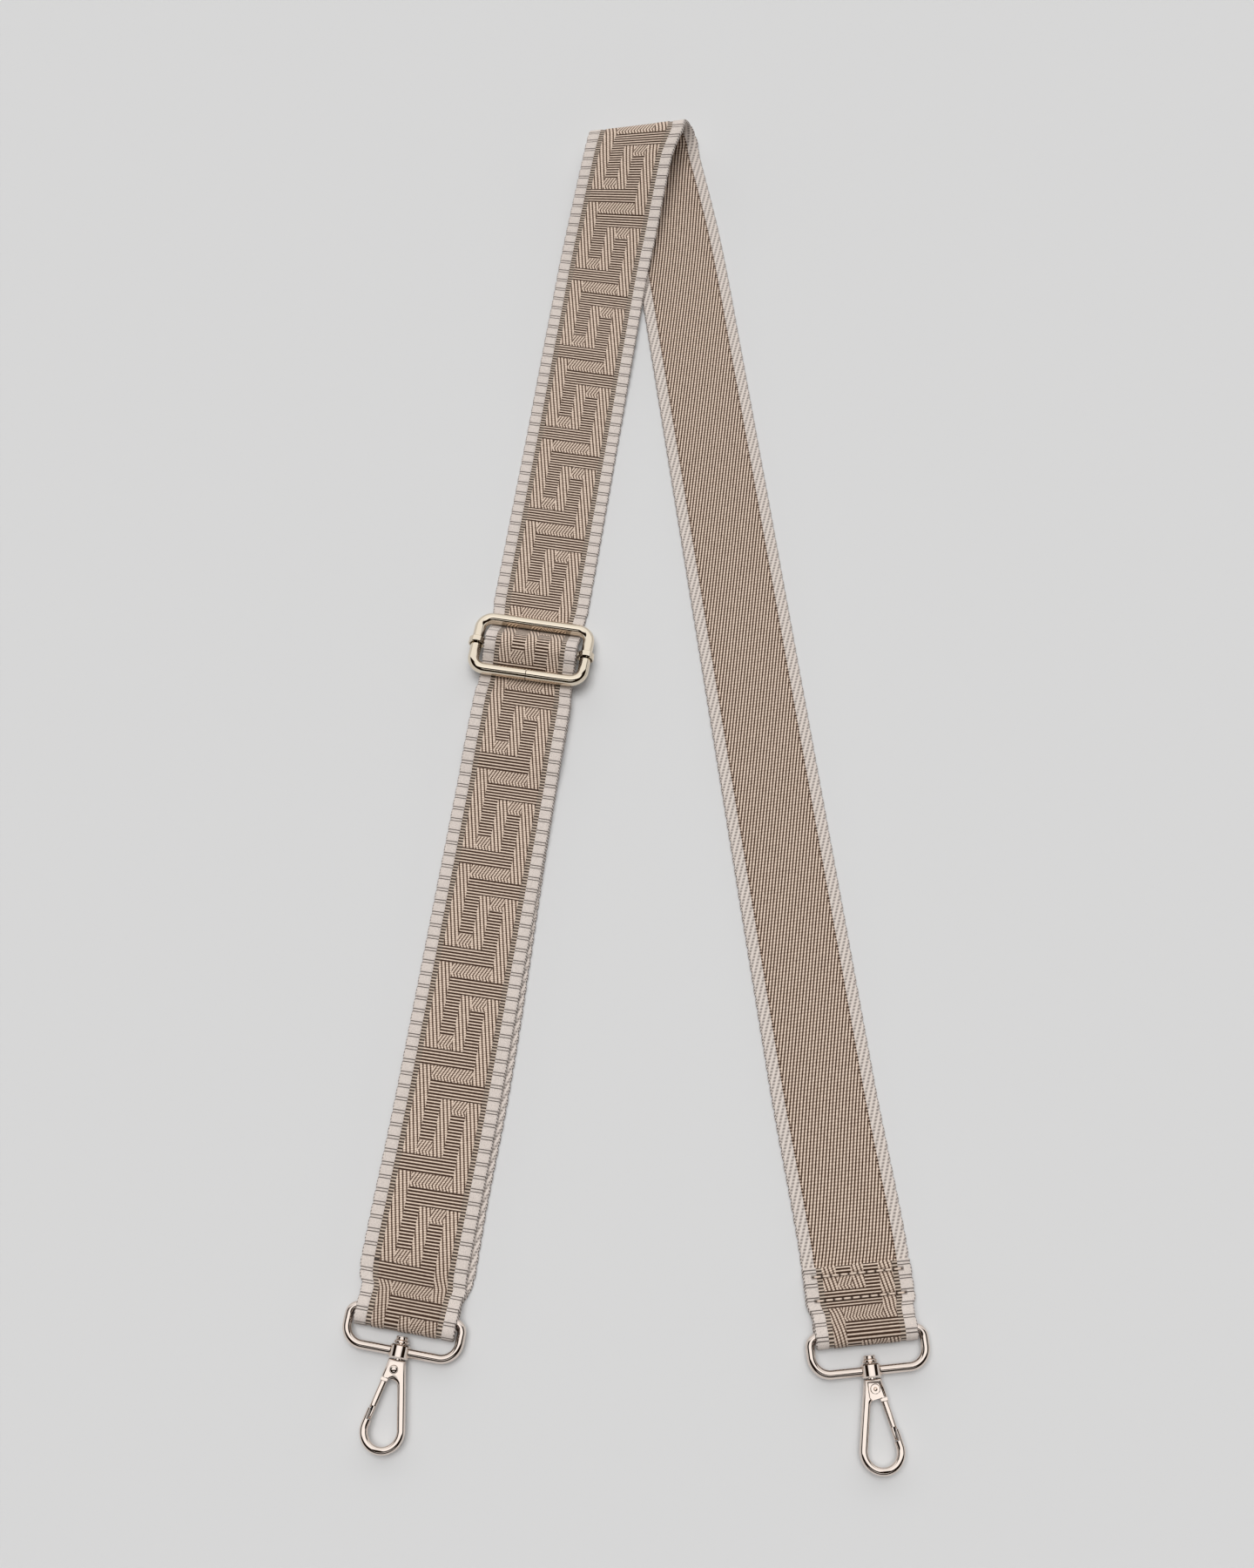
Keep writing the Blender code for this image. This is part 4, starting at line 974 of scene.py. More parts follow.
def belt(start, turns, end, heading_in, heading_out):
    """Route from start to end that goes round each turn in between, as (y, z) points."""
    headings = [heading_in]
    headings += [heading_between(a, b) for a, b in zip(turns, turns[1:])]
    headings.append(heading_out)
    route = [Vector(start)]
    for (centre, radius), arriving, leaving in zip(turns, headings, headings[1:]):
        route += turn_points(centre, radius, arriving, leaving)
    route.append(Vector(end))
    return route


def cross_line(y, z, width):
    return Vector((-width / 2, y, z)), Vector((width / 2, y, z))


def ring_route(top_end, bottom_end, slack):
    """Route round a ring's bar, from the under layer to the top layer, with the bar at the origin."""
    drop = RING_AXIS_HEIGHT
    landing = Vector((TAIL_LANDING, SECOND_LAYER + TAIL_LANDING_RADIUS - drop))
    turns = [(Vector((-slack, 0.0)), -RING_TURN_RADIUS), (Vector((0.0, 0.0)), -RING_TURN_RADIUS),
             (landing, TAIL_LANDING_RADIUS)]
    start = (bottom_end, FIRST_LAYER - drop)
    end = (top_end, SECOND_LAYER - drop)
    return belt(start, turns, end, HEADING_DOWN_LEG, HEADING_UP_LEG)


def subdivided(route, longest):
    fine = [route[0]]
    for near, far in zip(route, route[1:]):
        steps = max(1, math.ceil((far - near).length / longest))
        fine += [near.lerp(far, i / steps) for i in range(1, steps + 1)]
    return fine


def squeezed_lines(route, full_at, narrow_at, narrow_width):
    """Cross lines of a route whose webbing narrows where it goes through the metal."""
    lines = []
    for y, z in subdivided(route, ROW_SPACING):
        share = (abs(y) - narrow_at) / (full_at - narrow_at)
        lines.append(cross_line(y, z, eased(narrow_width, WEB_WIDTH, share)))
    return lines


def in_frame(matrix, lines):
    return [(matrix @ left, matrix @ right) for left, right in lines]


def spread(lines, full_at, none_at):
    """Moves the under layer to the right and the top layer to the left, away from where the webbing turns."""
    turn = min(range(len(lines)), key=lambda i: lines[i][0].y)
    moved = []
    for i, line in enumerate(lines):
        shift = eased(0.0, LEFT_END_SPREAD, (abs(line[0].y) - none_at) / (full_at - none_at))
        side = Vector((shift if i < turn else -shift, 0.0, 0.0))
        moved.append(tuple(point + side for point in line))
    return moved


def left_end_lines():
    route = ring_route(END_ARM, END_ARM, LEFT_LOOP_SLACK)
    lines = squeezed_lines(route, END_FULL_ARM, RING_SPACING / 2, WEB_RING_WIDTH)
    return in_frame(LEFT_END, spread(lines, END_ARM, RING_SPACING / 2))


def right_end_lines():
    route = ring_route(RIGHT_TAIL_END, RIGHT_LAYER_ARM, RIGHT_LOOP_SLACK)
    return in_frame(RIGHT_END, squeezed_lines(route, END_FULL_ARM, RING_SPACING / 2, WEB_RING_WIDTH))


def slider_turns(bar_radius, wire_radius):
    """The slider's bottom bar and centre bar as turns of a layer of webbing."""
    bottom_bar = (Vector((-FRAME_HALF_SPAN, FRAME_BOTTOM_AXIS)), wire_radius)
    centre_bar = (Vector((0.0, BAR_AXIS)), bar_radius)
    return bottom_bar, centre_bar


def bridge_lines():
    """The front layer over the centre bar, held down by the frame's two long bars."""
    bottom, centre = slider_turns(BRIDGE_TURN_RADIUS, -FRAME_TURN_RADIUS)
    top = (Vector((FRAME_HALF_SPAN, FRAME_TOP_AXIS)), -FRAME_TURN_RADIUS)
    start, end = (SLIDER_ARM, FIRST_LAYER), (-SLIDER_ARM, THIRD_LAYER)
    route = belt(start, [top, centre, bottom], end, HEADING_DOWN_LEG, HEADING_DOWN_LEG)
    return in_frame(SLIDER, squeezed_lines(route, SLIDER_ARM, SLIDER_FLAT_ARM, WEB_SLIDER_WIDTH))


def places_under_frame(lines):
    """How far along a length it passes under each long bar of the frame."""
    to_slider = SLIDER.inverted()
    reach = [(to_slider @ ((left + right) / 2)).y for left, right in lines]
    measured = lengths_along(lines)
    rows = range(len(lines))
    bars = (FRAME_HALF_SPAN, -FRAME_HALF_SPAN)
    return [measured[min(rows, key=lambda row: abs(reach[row] - bar))] for bar in bars]


def tail_loop_lines():
    """The webbing's end: up from the return layer, round the centre bar and back under to be sewn."""
    over_bottom, round_bar = slider_turns(-BAR_TURN_RADIUS, FRAME_TURN_RADIUS + LAYER_PITCH)
    under_bottom = (over_bottom[0], -(FRAME_TURN_RADIUS + 2 * LAYER_PITCH))
    start, end = (-TAIL_LAYER_ARM, SECOND_LAYER), (-SLIDER_TAIL, FIRST_LAYER)
    route = belt(start, [over_bottom, round_bar, under_bottom], end, HEADING_UP_LEG, HEADING_DOWN_LEG)
    return in_frame(SLIDER, squeezed_lines(route, SLIDER_ARM, SLIDER_FLAT_ARM, WEB_SLIDER_WIDTH))


def turned_towards(lines, end_line):
    """Turns a run's last cross lines little by little until they meet the piece round the ring."""
    meeting = (end_line[0] + end_line[1]) / 2
    turned = []
    for line in lines:
        middle = (line[0] + line[1]) / 2
        share = smoothstep(1.0 - (middle.y - meeting.y) / END_BEND_LENGTH)
        shift = Vector((0.0, middle.y - meeting.y, middle.z - meeting.z))
        turned.append(tuple(p.lerp(q + shift, share) for p, q in zip(line, end_line)))
    return turned


def places_between(start, end):
    steps = math.ceil(abs(end - start) / ROW_SPACING)
    return [start + (end - start) * i / steps for i in range(steps + 1)]


def end_line_of(matrix, arm, height, side=0.0):
    """Where a run meets the webbing round a ring, in the leg's frame."""
    line = cross_line(arm, height - RING_AXIS_HEIGHT, WEB_WIDTH)
    return tuple(matrix @ (point + Vector((side, 0.0, 0.0))) for point in line)


def upper_run_lines():
    """The layer from the slider up to the fold, which leaves the table little by little."""
    end = -FOLD_REACH
    foot = end - CLIMB_LENGTH
    start_height = FOLD_TOP_SHARES[0][2] * FOLD_LOOP_HEIGHT
    lines = []
    for y in places_between(SLIDER_ARM - SLIDER_DISTANCE, end):
        height = eased(FIRST_LAYER, start_height, (y - foot) / CLIMB_LENGTH)
        lines.append(cross_line(y, height, WEB_WIDTH))
    return in_frame(LEFT_LEG, lines)


def stepped_lines(start, step_from, high, low, bow, end_side):
    """A lower layer of the left leg: flat, one step down behind the sewn tail, then on to the ring."""
    end_line = end_line_of(LEFT_PLACE, END_ARM, low, end_side)
    end = (end_line[0].y + end_line[1].y) / 2
    step_to = step_from - LAYER_STEP_LENGTH
    lines = []
    for y in places_between(start, end):
        height = eased(high, low, (step_from - y) / LAYER_STEP_LENGTH)
        share = min(max((step_to - y) / (step_to - end), 0.0), 1.0)
        side = Vector((bow * math.sin(math.pi * share ** RETURN_BOW_LEAN), 0.0, 0.0))
        lines.append(tuple(point + side for point in cross_line(y, height, WEB_WIDTH)))
    return in_frame(LEFT_LEG, turned_towards(lines, end_line))


def front_run_lines():
    start = -(SLIDER_DISTANCE + SLIDER_ARM)
    step_from = -(SLIDER_DISTANCE + TAIL_LAYER_ARM)
    return stepped_lines(start, step_from, THIRD_LAYER, SECOND_LAYER, 0.0, -LEFT_END_SPREAD)


def return_run_lines():
    start = -(SLIDER_DISTANCE + TAIL_LAYER_ARM)
    return stepped_lines(start, start, SECOND_LAYER, FIRST_LAYER, RETURN_SIDE_BOW, LEFT_END_SPREAD)


def right_run_lines():
    end_line = end_line_of(RIGHT_PLACE, RIGHT_LAYER_ARM, FIRST_LAYER)
    end = (end_line[0].y + end_line[1].y) / 2
    lines = [cross_line(y, FIRST_LAYER, WEB_WIDTH) for y in places_between(-FOLD_REACH, end)]
    return in_frame(RIGHT_LEG, turned_towards(lines, end_line))


def fold_edge(shares, offset, matrix):
    """One edge of the fold through its stations on one leg."""
    return [matrix @ Vector((row[offset + 1] * WEB_WIDTH / 2, -row[offset] * FOLD_REACH,
                             row[offset + 2] * FOLD_LOOP_HEIGHT)) for row in shares]


def nose_points(top, under, bulge):
    """Half an ellipse from the top of the loop to its underside, bulging away from the legs."""
    middle = (top + under) / 2
    reach = (top - under) / 2
    angles = [math.pi * i / NOSE_STEPS for i in range(1, NOSE_STEPS)]
    return [middle + reach * math.cos(a) + Vector((0.0, bulge * math.sin(a), 0.0)) for a in angles]


def smooth_curve(stations, steps):
    """A smooth curve through the stations, with even steps between each two of them."""
    padded = [2 * stations[0] - stations[1]] + stations + [2 * stations[-1] - stations[-2]]
    points = []
    for before, near, far, after in zip(padded, padded[1:], padded[2:], padded[3:]):
        for i in range(steps):
            t = i / steps
            points.append(0.5 * (2 * near + (far - before) * t
                                 + (2 * before - 5 * near + 4 * far - after) * t * t
                                 + (3 * near - before - 3 * far + after) * t * t * t))
    return points + [stations[-1]]


def fold_lines():
    edges = []
    for offset, bulge in ((0, FOLD_NOSE_LEFT), (3, FOLD_NOSE_RIGHT)):
        top = fold_edge(FOLD_TOP_SHARES, offset, LEFT_LEG)
        under = fold_edge(FOLD_UNDER_SHARES, offset, RIGHT_LEG)
        stations = top + nose_points(top[-1], under[0], bulge) + under
        edges.append(smooth_curve(stations, FOLD_STEPS_BETWEEN))
    return list(zip(*edges))


# Webbing as a solid strip

def lengths_along(lines):
    """Distance of each cross line from the first one, along the middle of the webbing."""
    middle = np.array([(left + right) / 2 for left, right in lines])
    return np.concatenate([[0.0], np.cumsum(np.linalg.norm(np.diff(middle, axis=0), axis=1))])


def evenly_spaced(lines, along):
    """Cross lines moved to the ribs of the weave, so that the relief falls on them."""
    order = np.argsort(along)
    low, high = along.min(), along.max()
    first = math.ceil(low / ROW_SPACING + ROW_MARGIN)
    last = math.floor(high / ROW_SPACING - ROW_MARGIN)
    wanted = np.concatenate([[low], np.arange(first, last + 1) * ROW_SPACING, [high]])
    table = np.array([[*left, *right] for left, right in lines])[order]
    rows = np.stack([np.interp(wanted, along[order], table[:, i]) for i in range(6)], axis=1)
    if along[0] > along[-1]:
        return rows[::-1], wanted[::-1]
    return rows, wanted


def face_columns(breaks):
    """Places across one face: close pairs where its height steps, and even steps between them."""
    edge = WEB_WIDTH / 2 - EDGE_ROUNDING
    marks = [-edge]
    for place in breaks:
        marks += [place - STEP_WIDTH / 2, place + STEP_WIDTH / 2]
    marks.append(edge)
    columns = []
    for near, far in zip(marks, marks[1:]):
        count = max(1, math.ceil((far - near) / COLUMN_SPACING))
        columns += [near + (far - near) * i / count for i in range(count)]
    return columns + [edge]


def web_profile():
    """The webbing's outline across: (across, rise, side) down the front, the rims and the back."""
    shares = (0.0, KEY_BAND_SHARE, KEY_COLUMN_SHARE, 1 - KEY_COLUMN_SHARE, 1 - KEY_BAND_SHARE, 1.0)
    breaks = [-LADDER_HALF] + [(share - 0.5) * 2 * PANEL_HALF for share in shares] + [LADDER_HALF]
    half = WEB_THICKNESS / 2
    front = [(x, half, 1.0) for x in face_columns(breaks)]
    back = [(x, -half, -1.0) for x in reversed(face_columns([-BACK_PANEL_HALF, BACK_PANEL_HALF]))]
    edge = WEB_WIDTH / 2 - EDGE_ROUNDING
    turns = [math.radians(angle) for angle in RIM_DEGREES]
    rim = [(edge + EDGE_ROUNDING * math.cos(a), half * math.sin(a), 0.0) for a in turns]
    return front + rim + back + [(-x, -rise, side) for x, rise, side in rim]


def unit(vectors):
    return vectors / np.linalg.norm(vectors, axis=1)[:, None]


def nearness_to_rings(places):
    """Share of the painted shade near the rings: 1 at a ring's bar, down to 0 where the webbing lies flat."""
    ends = (np.array(end.translation) for end in (LEFT_END, RIGHT_END))
    distance = np.minimum(*(np.linalg.norm(places - end, axis=1) for end in ends))
    return smoothstep(1.0 - distance / END_SHADE_REACH)


def strip(name, lines, along, front):
    """Closed strip of webbing. front is 1 where the front face lies towards across x heading, else -1."""
    rows, along = evenly_spaced(lines, along)
    left, right = rows[:, :3], rows[:, 3:]
    middle = (left + right) / 2
    width = np.linalg.norm(right - left, axis=1)
    across = unit(right - left)
    heading = unit(np.gradient(middle, axis=0))
    normal = unit(np.cross(across, heading)) * front
    profile = np.array(web_profile())
    count, ring = len(rows), len(profile)
    sideways = profile[None, :, :1] * (width / WEB_WIDTH)[:, None, None]
    points = middle[:, None] + across[:, None] * sideways + normal[:, None] * profile[None, :, 1:2]
    i, j = np.meshgrid(np.arange(count - 1), np.arange(ring), indexing="ij")
    here, beside = i * ring + j, i * ring + (j + 1) % ring
    quads = np.stack([here, beside, beside + ring, here + ring], axis=-1).reshape(-1, 4)[:, ::front]
    first, last = list(range(ring)), list(range((count - 1) * ring, count * ring))
    mesh = bpy.data.meshes.new(name)
    mesh.from_pydata(points.reshape(-1, 3).tolist(), [], quads.tolist() + [first[::-front], last[::front]])
    # the last value is the share of painted shade near the rings' bars
    values = {"across": np.tile(profile[:, 0], count), "rise": np.tile(profile[:, 1], count),
              "side": np.tile(profile[:, 2], count), "along": np.repeat(along, ring),
              "ring_shade": np.repeat(nearness_to_rings(middle), ring)}
    for key, value in values.items():
        layer = mesh.attributes.new(key, "FLOAT", "POINT")
        layer.data.foreach_set("value", value.astype(np.float32))
    sides = profile[:, 2]
    kinds = np.where((sides > 0.5) & (np.roll(sides, -1) > 0.5), 0,
                     np.where((sides < -0.5) & (np.roll(sides, -1) < -0.5), 1, 2))
    index = np.full(len(quads) + 2, 2, dtype=np.int32)
    index[:len(quads)] = np.tile(kinds, count - 1)
    for weave in (FRONT, BACK, RIM):
        mesh.materials.append(weave)
    mesh.polygons.foreach_set("material_index", index)
    return linked(name, smooth(mesh, STRIP_SHARP_DEGREES))


def joined(*parts):
    """Cross lines of neighbouring lengths as one list, without the lines that they share."""
    lines = list(parts[0])
    for part in parts[1:]:
        lines += part[1:]
    return lines


def make_webbing():
    """All of the webbing, counted from its raw edge at the right ring to the one at the slider.

    Each length says its cross lines, which way its front faces, the body that it moves with or the two that
    it lies between, the nodes that it replaces and what marks its relief.
    """
    right = joined(fold_lines(), right_run_lines(), right_end_lines())
    bridge = bridge_lines()
    lengths = (
        ("webbing_fold_and_right_leg", right, 1, ["strap"],
         ["web_top_fold", "web_right_run", "web_right_end"], {"seams": RIGHT_SEAMS}),
        ("webbing_upper_run", upper_run_lines(), 1, ["strap", "slider"], ["web_left_upper_run"], {}),
        ("webbing_over_slider", bridge, -1, ["slider"], ["web_slider_bridge"],
         {"pressed": places_under_frame(bridge)}),
        ("webbing_front_run", front_run_lines(), -1, ["slider", "left_end"], ["web_left_front_run"], {}),
        ("webbing_left_end", left_end_lines(), 1, ["left_end"], ["web_left_end"], {}),
        ("webbing_return_run", return_run_lines(), 1, ["slider", "left_end"], ["web_left_return_run"], {}),
        ("webbing_tail_loop", tail_loop_lines(), -1, ["slider"], ["web_slider_tail_loop"], {}),
    )
    down = -(LEFT_LEG.to_3x3() @ Vector((0.0, 1.0, 0.0)))
    along = TAIL_PATTERN_OFFSET - RIGHT_TAIL_END
    for name, lines, front, bodies, nodes, marks in lengths:
        measured = lengths_along(lines)
        places = along + (measured if front < 0 else measured[-1] - measured)
        piece = strip(name, lines, places, front)
        if len(bodies) > 1:
            near, far = [sum(line, Vector()) / 2 for line in (lines[0], lines[-1])][::-front]
            high, low = (near, far) if near.y > far.y else (far, near)
            relief(piece, along, near, down if near is high else -down, **marks)
            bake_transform(piece)
        else:
            relief(piece, along, **marks)
            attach(piece, *bodies)
        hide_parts(*nodes)
        along += measured[-1]


# Stitches

def thread_path(y, high, low):
    """One thread along a row: it lies high in each stitch and dips where the needle went in."""
    count = round(STITCH_ROW_WIDTH / STITCH_LENGTH)
    stations = []
    for i in range(count):
        left = (i - count / 2) * STITCH_LENGTH
        right = left + STITCH_LENGTH
        for x, z in ((left, low), (left + STITCH_BEND, high), (right - STITCH_BEND, high)):
            stations.append(Vector((x, y, z)))
    stations.append(Vector((count / 2 * STITCH_LENGTH, y, low)))
    return smooth_curve(stations, THREAD_STEPS)


def make_stitches(name, body, matrix, rows, top, bottom):
    """Rows of stitches with a thread in each of the seam's two faces."""
    for number, y in enumerate(rows, 1):
        for side, face, inward, rise in (("top", top, -1.0, THREAD_RISE), ("under", bottom, 1.0, 0.0)):
            high = face + inward * (THREAD_DIAMETER / 2 - rise)
            path = thread_path(y, high, high + inward * STITCH_DIP)
            node = f"{name}_row_{number}_{side}"
            mesh = smooth(wire_mesh(node, path, THREAD_DIAMETER, resolution=FINE_WIRE_RESOLUTION))
            new_piece(node + "_thread", mesh, matrix, body, THREAD, [node])


def make_all_stitches():
    rows = [RIGHT_TAIL_END - row for row in ROWS_FROM_EDGE]
    top = SECOND_LAYER + WEB_THICKNESS / 2
    make_stitches("right_end_stitch", "strap", RIGHT_END, rows, top - RING_AXIS_HEIGHT, -RING_AXIS_HEIGHT)
    rows = [row - SLIDER_TAIL for row in ROWS_FROM_EDGE]
    make_stitches("slider_stitch", "slider", SLIDER, rows, top, 0.0)


# Slider

def make_slider():
    side, half_height = (FRAME_WIDTH - FRAME_WIRE) / 2, FRAME_PITCH / 2
    x, y = side - FRAME_CORNER_RADIUS, half_height - FRAME_CORNER_RADIUS
    path = [(FRAME_SEAM / 2, -half_height)]
    for centre, start in (((x, -y), -90), ((x, y), 0), ((-x, y), 90), ((-x, -y), 180)):
        path += corner(centre, FRAME_CORNER_RADIUS, start)
    path.append((-FRAME_SEAM / 2, -half_height))
    mesh = smooth(wire_mesh("slider_wire", [(px, py, 0.0) for px, py in path], FRAME_WIRE))
    new_piece("slider_wire", mesh, SLIDER_PLANE, "slider_wire_frame", SLIDER_GOLD, ["slider_frame"])

    bore = (FRAME_WIRE + 2 * FIT_GAP) / 2
    outer = bore + EYE_WALL
    rod_end = side - (bore + outer) / 2
    mesh = smooth(wire_mesh("slider_rod", [(-rod_end, 0.0, 0.0), (rod_end, 0.0, 0.0)], BAR_DIAMETER))
    new_piece("slider_rod", mesh, SLIDER_PLANE, "slider", SLIDER_GOLD, ["slider_centre_bar"])
    half, rim = EYE_LENGTH / 2, EYE_ROUNDING
    profile = [(bore, half - rim / 2), (bore + rim / 2, half), (outer - rim, half), (outer, half - rim),
               (outer, rim - half), (outer - rim, -half), (bore + rim / 2, -half), (bore, rim / 2 - half),
               (bore, half - rim / 2)]
    for label, place in (("left", -side), ("right", side)):
        eye = smooth(upright(turned_mesh("slider_eye_" + label, profile)))
        where = SLIDER_PLANE @ Matrix.Translation((place, 0.0, 0.0))
        new_piece("slider_eye_" + label, eye, where, "slider", SLIDER_GOLD)


# Ring and swivel

def make_ring(side, end):
    """Wire ring with its top bar on the frame's x axis and the swivel boss on its bottom bar."""
    half = (RING_WIDTH - RING_WIRE) / 2
    top_x, bottom_x = half - RING_TOP_CORNER, half - RING_BOTTOM_CORNER
    low_y = RING_BOTTOM_CORNER - RING_SPACING
    path = []
    for x, y, radius, start in ((bottom_x, low_y, RING_BOTTOM_CORNER, -90),
                                (top_x, -RING_TOP_CORNER, RING_TOP_CORNER, 0),
                                (-top_x, -RING_TOP_CORNER, RING_TOP_CORNER, 90),
                                (-bottom_x, low_y, RING_BOTTOM_CORNER, 180)):
        path += corner((x, y), radius, start)
    wire = wire_mesh(side + "_ring_wire", [(x, y, 0.0) for x, y in path], RING_WIRE, cyclic=True)
    new_piece(side + "_ring_wire", smooth(wire), end, side + "_loop", GOLD, [side + "_ring"])
    radius, half_length = BOSS_DIAMETER / 2, BOSS_LENGTH / 2
    rim, shoulder = radius - BOSS_CHAMFER, half_length - BOSS_CHAMFER
    bore = POST_DIAMETER / 2 + FIT_GAP
    profile = [(bore, half_length), (rim, half_length), (radius, shoulder), (radius, -shoulder),
               (rim, -half_length), (bore, -half_length), (bore, half_length)]
    boss = smooth(upright(turned_mesh(side + "_ring_boss", profile)), BOSS_SHARP_DEGREES)
    place = end @ Matrix.Translation((0.0, -RING_SPACING, 0.0))
    new_piece(side + "_ring_boss", boss, place, side + "_loop", GOLD)


def make_post(side, swivel):
    """Pin through the boss: a cap and collar above it, and a shank down into the hook's head."""
    cap, collar, shank = POST_CAP_DIAMETER / 2, POST_COLLAR_DIAMETER / 2, POST_DIAMETER / 2
    seat = BOSS_LENGTH / 2 + FIT_GAP
    collar_top = seat + POST_COLLAR_LENGTH
    cap_top = collar_top + POST_CAP_LENGTH
    foot = -(BOSS_LENGTH / 2 + HEAD_TOP_WALL)
    rim, soft = POST_CHAMFER, POST_CHAMFER * SOFT_CORNER_SHARE
    profile = [(0.0, cap_top + rim * CROWN_RISE_SHARE), (cap * CROWN_MIDDLE_SHARE, cap_top + soft),
               (cap - rim, cap_top), (cap - soft, cap_top - soft), (cap, cap_top - rim),
               (cap, collar_top + rim), (cap - rim, collar_top), (collar - rim, collar_top),
               (collar - soft, collar_top - soft), (collar, collar_top - rim), (collar, seat + rim),
               (collar - rim, seat), (shank, seat), (shank, foot), (0.0, foot)]
    mesh = smooth(upright(turned_mesh(side + "_post", profile)), POST_SHARP_DEGREES)
    new_piece(side + "_post", mesh, swivel, side + "_hook", GOLD, [side + "_swivel_post"])


# Snap hook, drawn with its swivel axis along y and the ring's bottom bar at the origin

HEAD_TOP = -(BOSS_LENGTH / 2 + FIT_GAP)
ARC_RADIUS = HOOK_WIDTH / 2
ARC_CENTRE = HEAD_TOP - (HOOK_LENGTH - ARC_RADIUS)
SHOULDER = HOOK_TOP_WIDTH / 2
SHOULDER_TO_ARC = math.hypot(SHOULDER, HEAD_TOP - ARC_CENTRE)
FLANK_ANGLE = math.asin(ARC_RADIUS / SHOULDER_TO_ARC) - math.atan2(SHOULDER, HEAD_TOP - ARC_CENTRE)
EYE_RADIUS = ARC_RADIUS - HOOK_WALL
EYE_TOP = HEAD_TOP - HEAD_LENGTH
EYE_TOP_RADIUS = ((EYE_RADIUS - (EYE_TOP - ARC_CENTRE) * math.sin(FLANK_ANGLE))
                  / (1.0 - math.sin(FLANK_ANGLE)))
EYE_TOP_CENTRE = EYE_TOP - EYE_TOP_RADIUS
RIVET_X = -RIVET_SIDE_OFFSET
RIVET_Y = HEAD_TOP - RIVET_DEPTH
RIVET_HOLE = RIVET_DIAMETER + 2 * RIVET_PLAY


def on_flank(inward, down):
    """A point given by its distance in from the gate's flank and its distance down from the shoulder."""
    x = -SHOULDER + inward * math.cos(FLANK_ANGLE) - down * math.sin(FLANK_ANGLE)
    y = HEAD_TOP - inward * math.sin(FLANK_ANGLE) - down * math.cos(FLANK_ANGLE)
    return x, y


def hook_outlines():
    """Outer outline and eye of the hook: two round ends joined by straight flanks."""
    low = (0.0, ARC_CENTRE)
    outer = [(SHOULDER, HEAD_TOP), (-SHOULDER, HEAD_TOP)]
    outer += arc(low, ARC_RADIUS, math.pi - FLANK_ANGLE, 2 * math.pi + FLANK_ANGLE)
    eye = arc(low, EYE_RADIUS, math.pi - FLANK_ANGLE, 2 * math.pi + FLANK_ANGLE)
    eye += arc((0.0, EYE_TOP_CENTRE), EYE_TOP_RADIUS, FLANK_ANGLE, math.pi - FLANK_ANGLE, OUTLINE_STEPS // 2)
    return outer, eye[::-1]


def make_hook(side, swivel):
    """Hook body: a flat plate with round edges, cut open for the gate, its slot, the rivet and the post."""
    name = side + "_hook_body"
    outside = -CUT_OVERRUN
    through = HOOK_THICKNESS + CUT_OVERRUN
    inner = HOOK_WALL + CUT_OVERRUN
    lap = GATE_INSET + GATE_WIDTH - GATE_TONGUE_WIDTH - FIT_GAP
    lap_start, lap_end = GATE_LAP_START + FIT_GAP, GATE_LAP_END + FIT_GAP
    window = [on_flank(outside, GATE_FOOT_CUT), on_flank(outside, lap_start), on_flank(lap, lap_start),
              on_flank(lap, lap_end), on_flank(inner, lap_end), on_flank(inner, GATE_FOOT_CUT)]
    slot_foot = GATE_FOOT_CUT + CUT_OVERRUN
    slot = [(SLOT_FAR_SIDE, HEAD_TOP - HEAD_TOP_WALL), on_flank(outside, HEAD_TOP_WALL),
            on_flank(outside, slot_foot), (SLOT_FAR_SIDE, EYE_TOP - EYE_TOP_RADIUS)]
    far = SHOULDER - POCKET_RIM
    pocket = [(far, HEAD_TOP - POCKET_RIM), on_flank(POCKET_RIM, POCKET_RIM), on_flank(POCKET_RIM, slot_foot),
              (0.0, EYE_TOP - CUT_OVERRUN), (far, EYE_TOP + POCKET_RIM)]
    pocket_tool = plate_mesh("pocket", [pocket], POCKET_DEPTH + CUT_OVERRUN, POCKET_FILLET)
    back = -(HOOK_THICKNESS - POCKET_DEPTH + CUT_OVERRUN) / 2
    bore, length = POST_DIAMETER + 2 * FIT_GAP, 2 * (HEAD_TOP_WALL + FIT_GAP)
    tools = [plate_mesh("window", [window], through), plate_mesh("slot", [slot], SLOT_WIDTH),
             moved(pocket_tool, 0.0, 0.0, back),
             round_mesh("post_bore", bore, length, (0.0, HEAD_TOP, 0.0), lying=True),
             round_mesh("rivet_hole", RIVET_HOLE, through, (RIVET_X, RIVET_Y, 0.0))]
    plate = plate_mesh(name, hook_outlines(), HOOK_THICKNESS, HOOK_ROUNDING)
    mesh = smooth(carved(plate, tools), CARVED_SHARP_DEGREES)
    new_piece(name, mesh, swivel, side + "_hook", GOLD, [side + "_snap_hook"])


def gate_outline():
    """The gate from the side of its hook: a tongue, a straight bar and a disc round the rivet."""
    outer, inner = GATE_INSET, GATE_INSET + GATE_WIDTH
    tongue = inner - GATE_TONGUE_WIDTH
    points = [on_flank(inner, GATE_TOP), on_flank(inner, GATE_LAP_END), on_flank(tongue, GATE_LAP_END),
              on_flank(tongue, GATE_LAP_START), on_flank(outer, GATE_LAP_START), on_flank(outer, GATE_TOP)]
    start, end = math.radians(GATE_DISC_FROM_DEGREES), math.radians(GATE_DISC_TO_DEGREES)
    return points + arc((RIVET_X, RIVET_Y), GATE_DISC_RADIUS, start, end, GATE_DISC_STEPS)


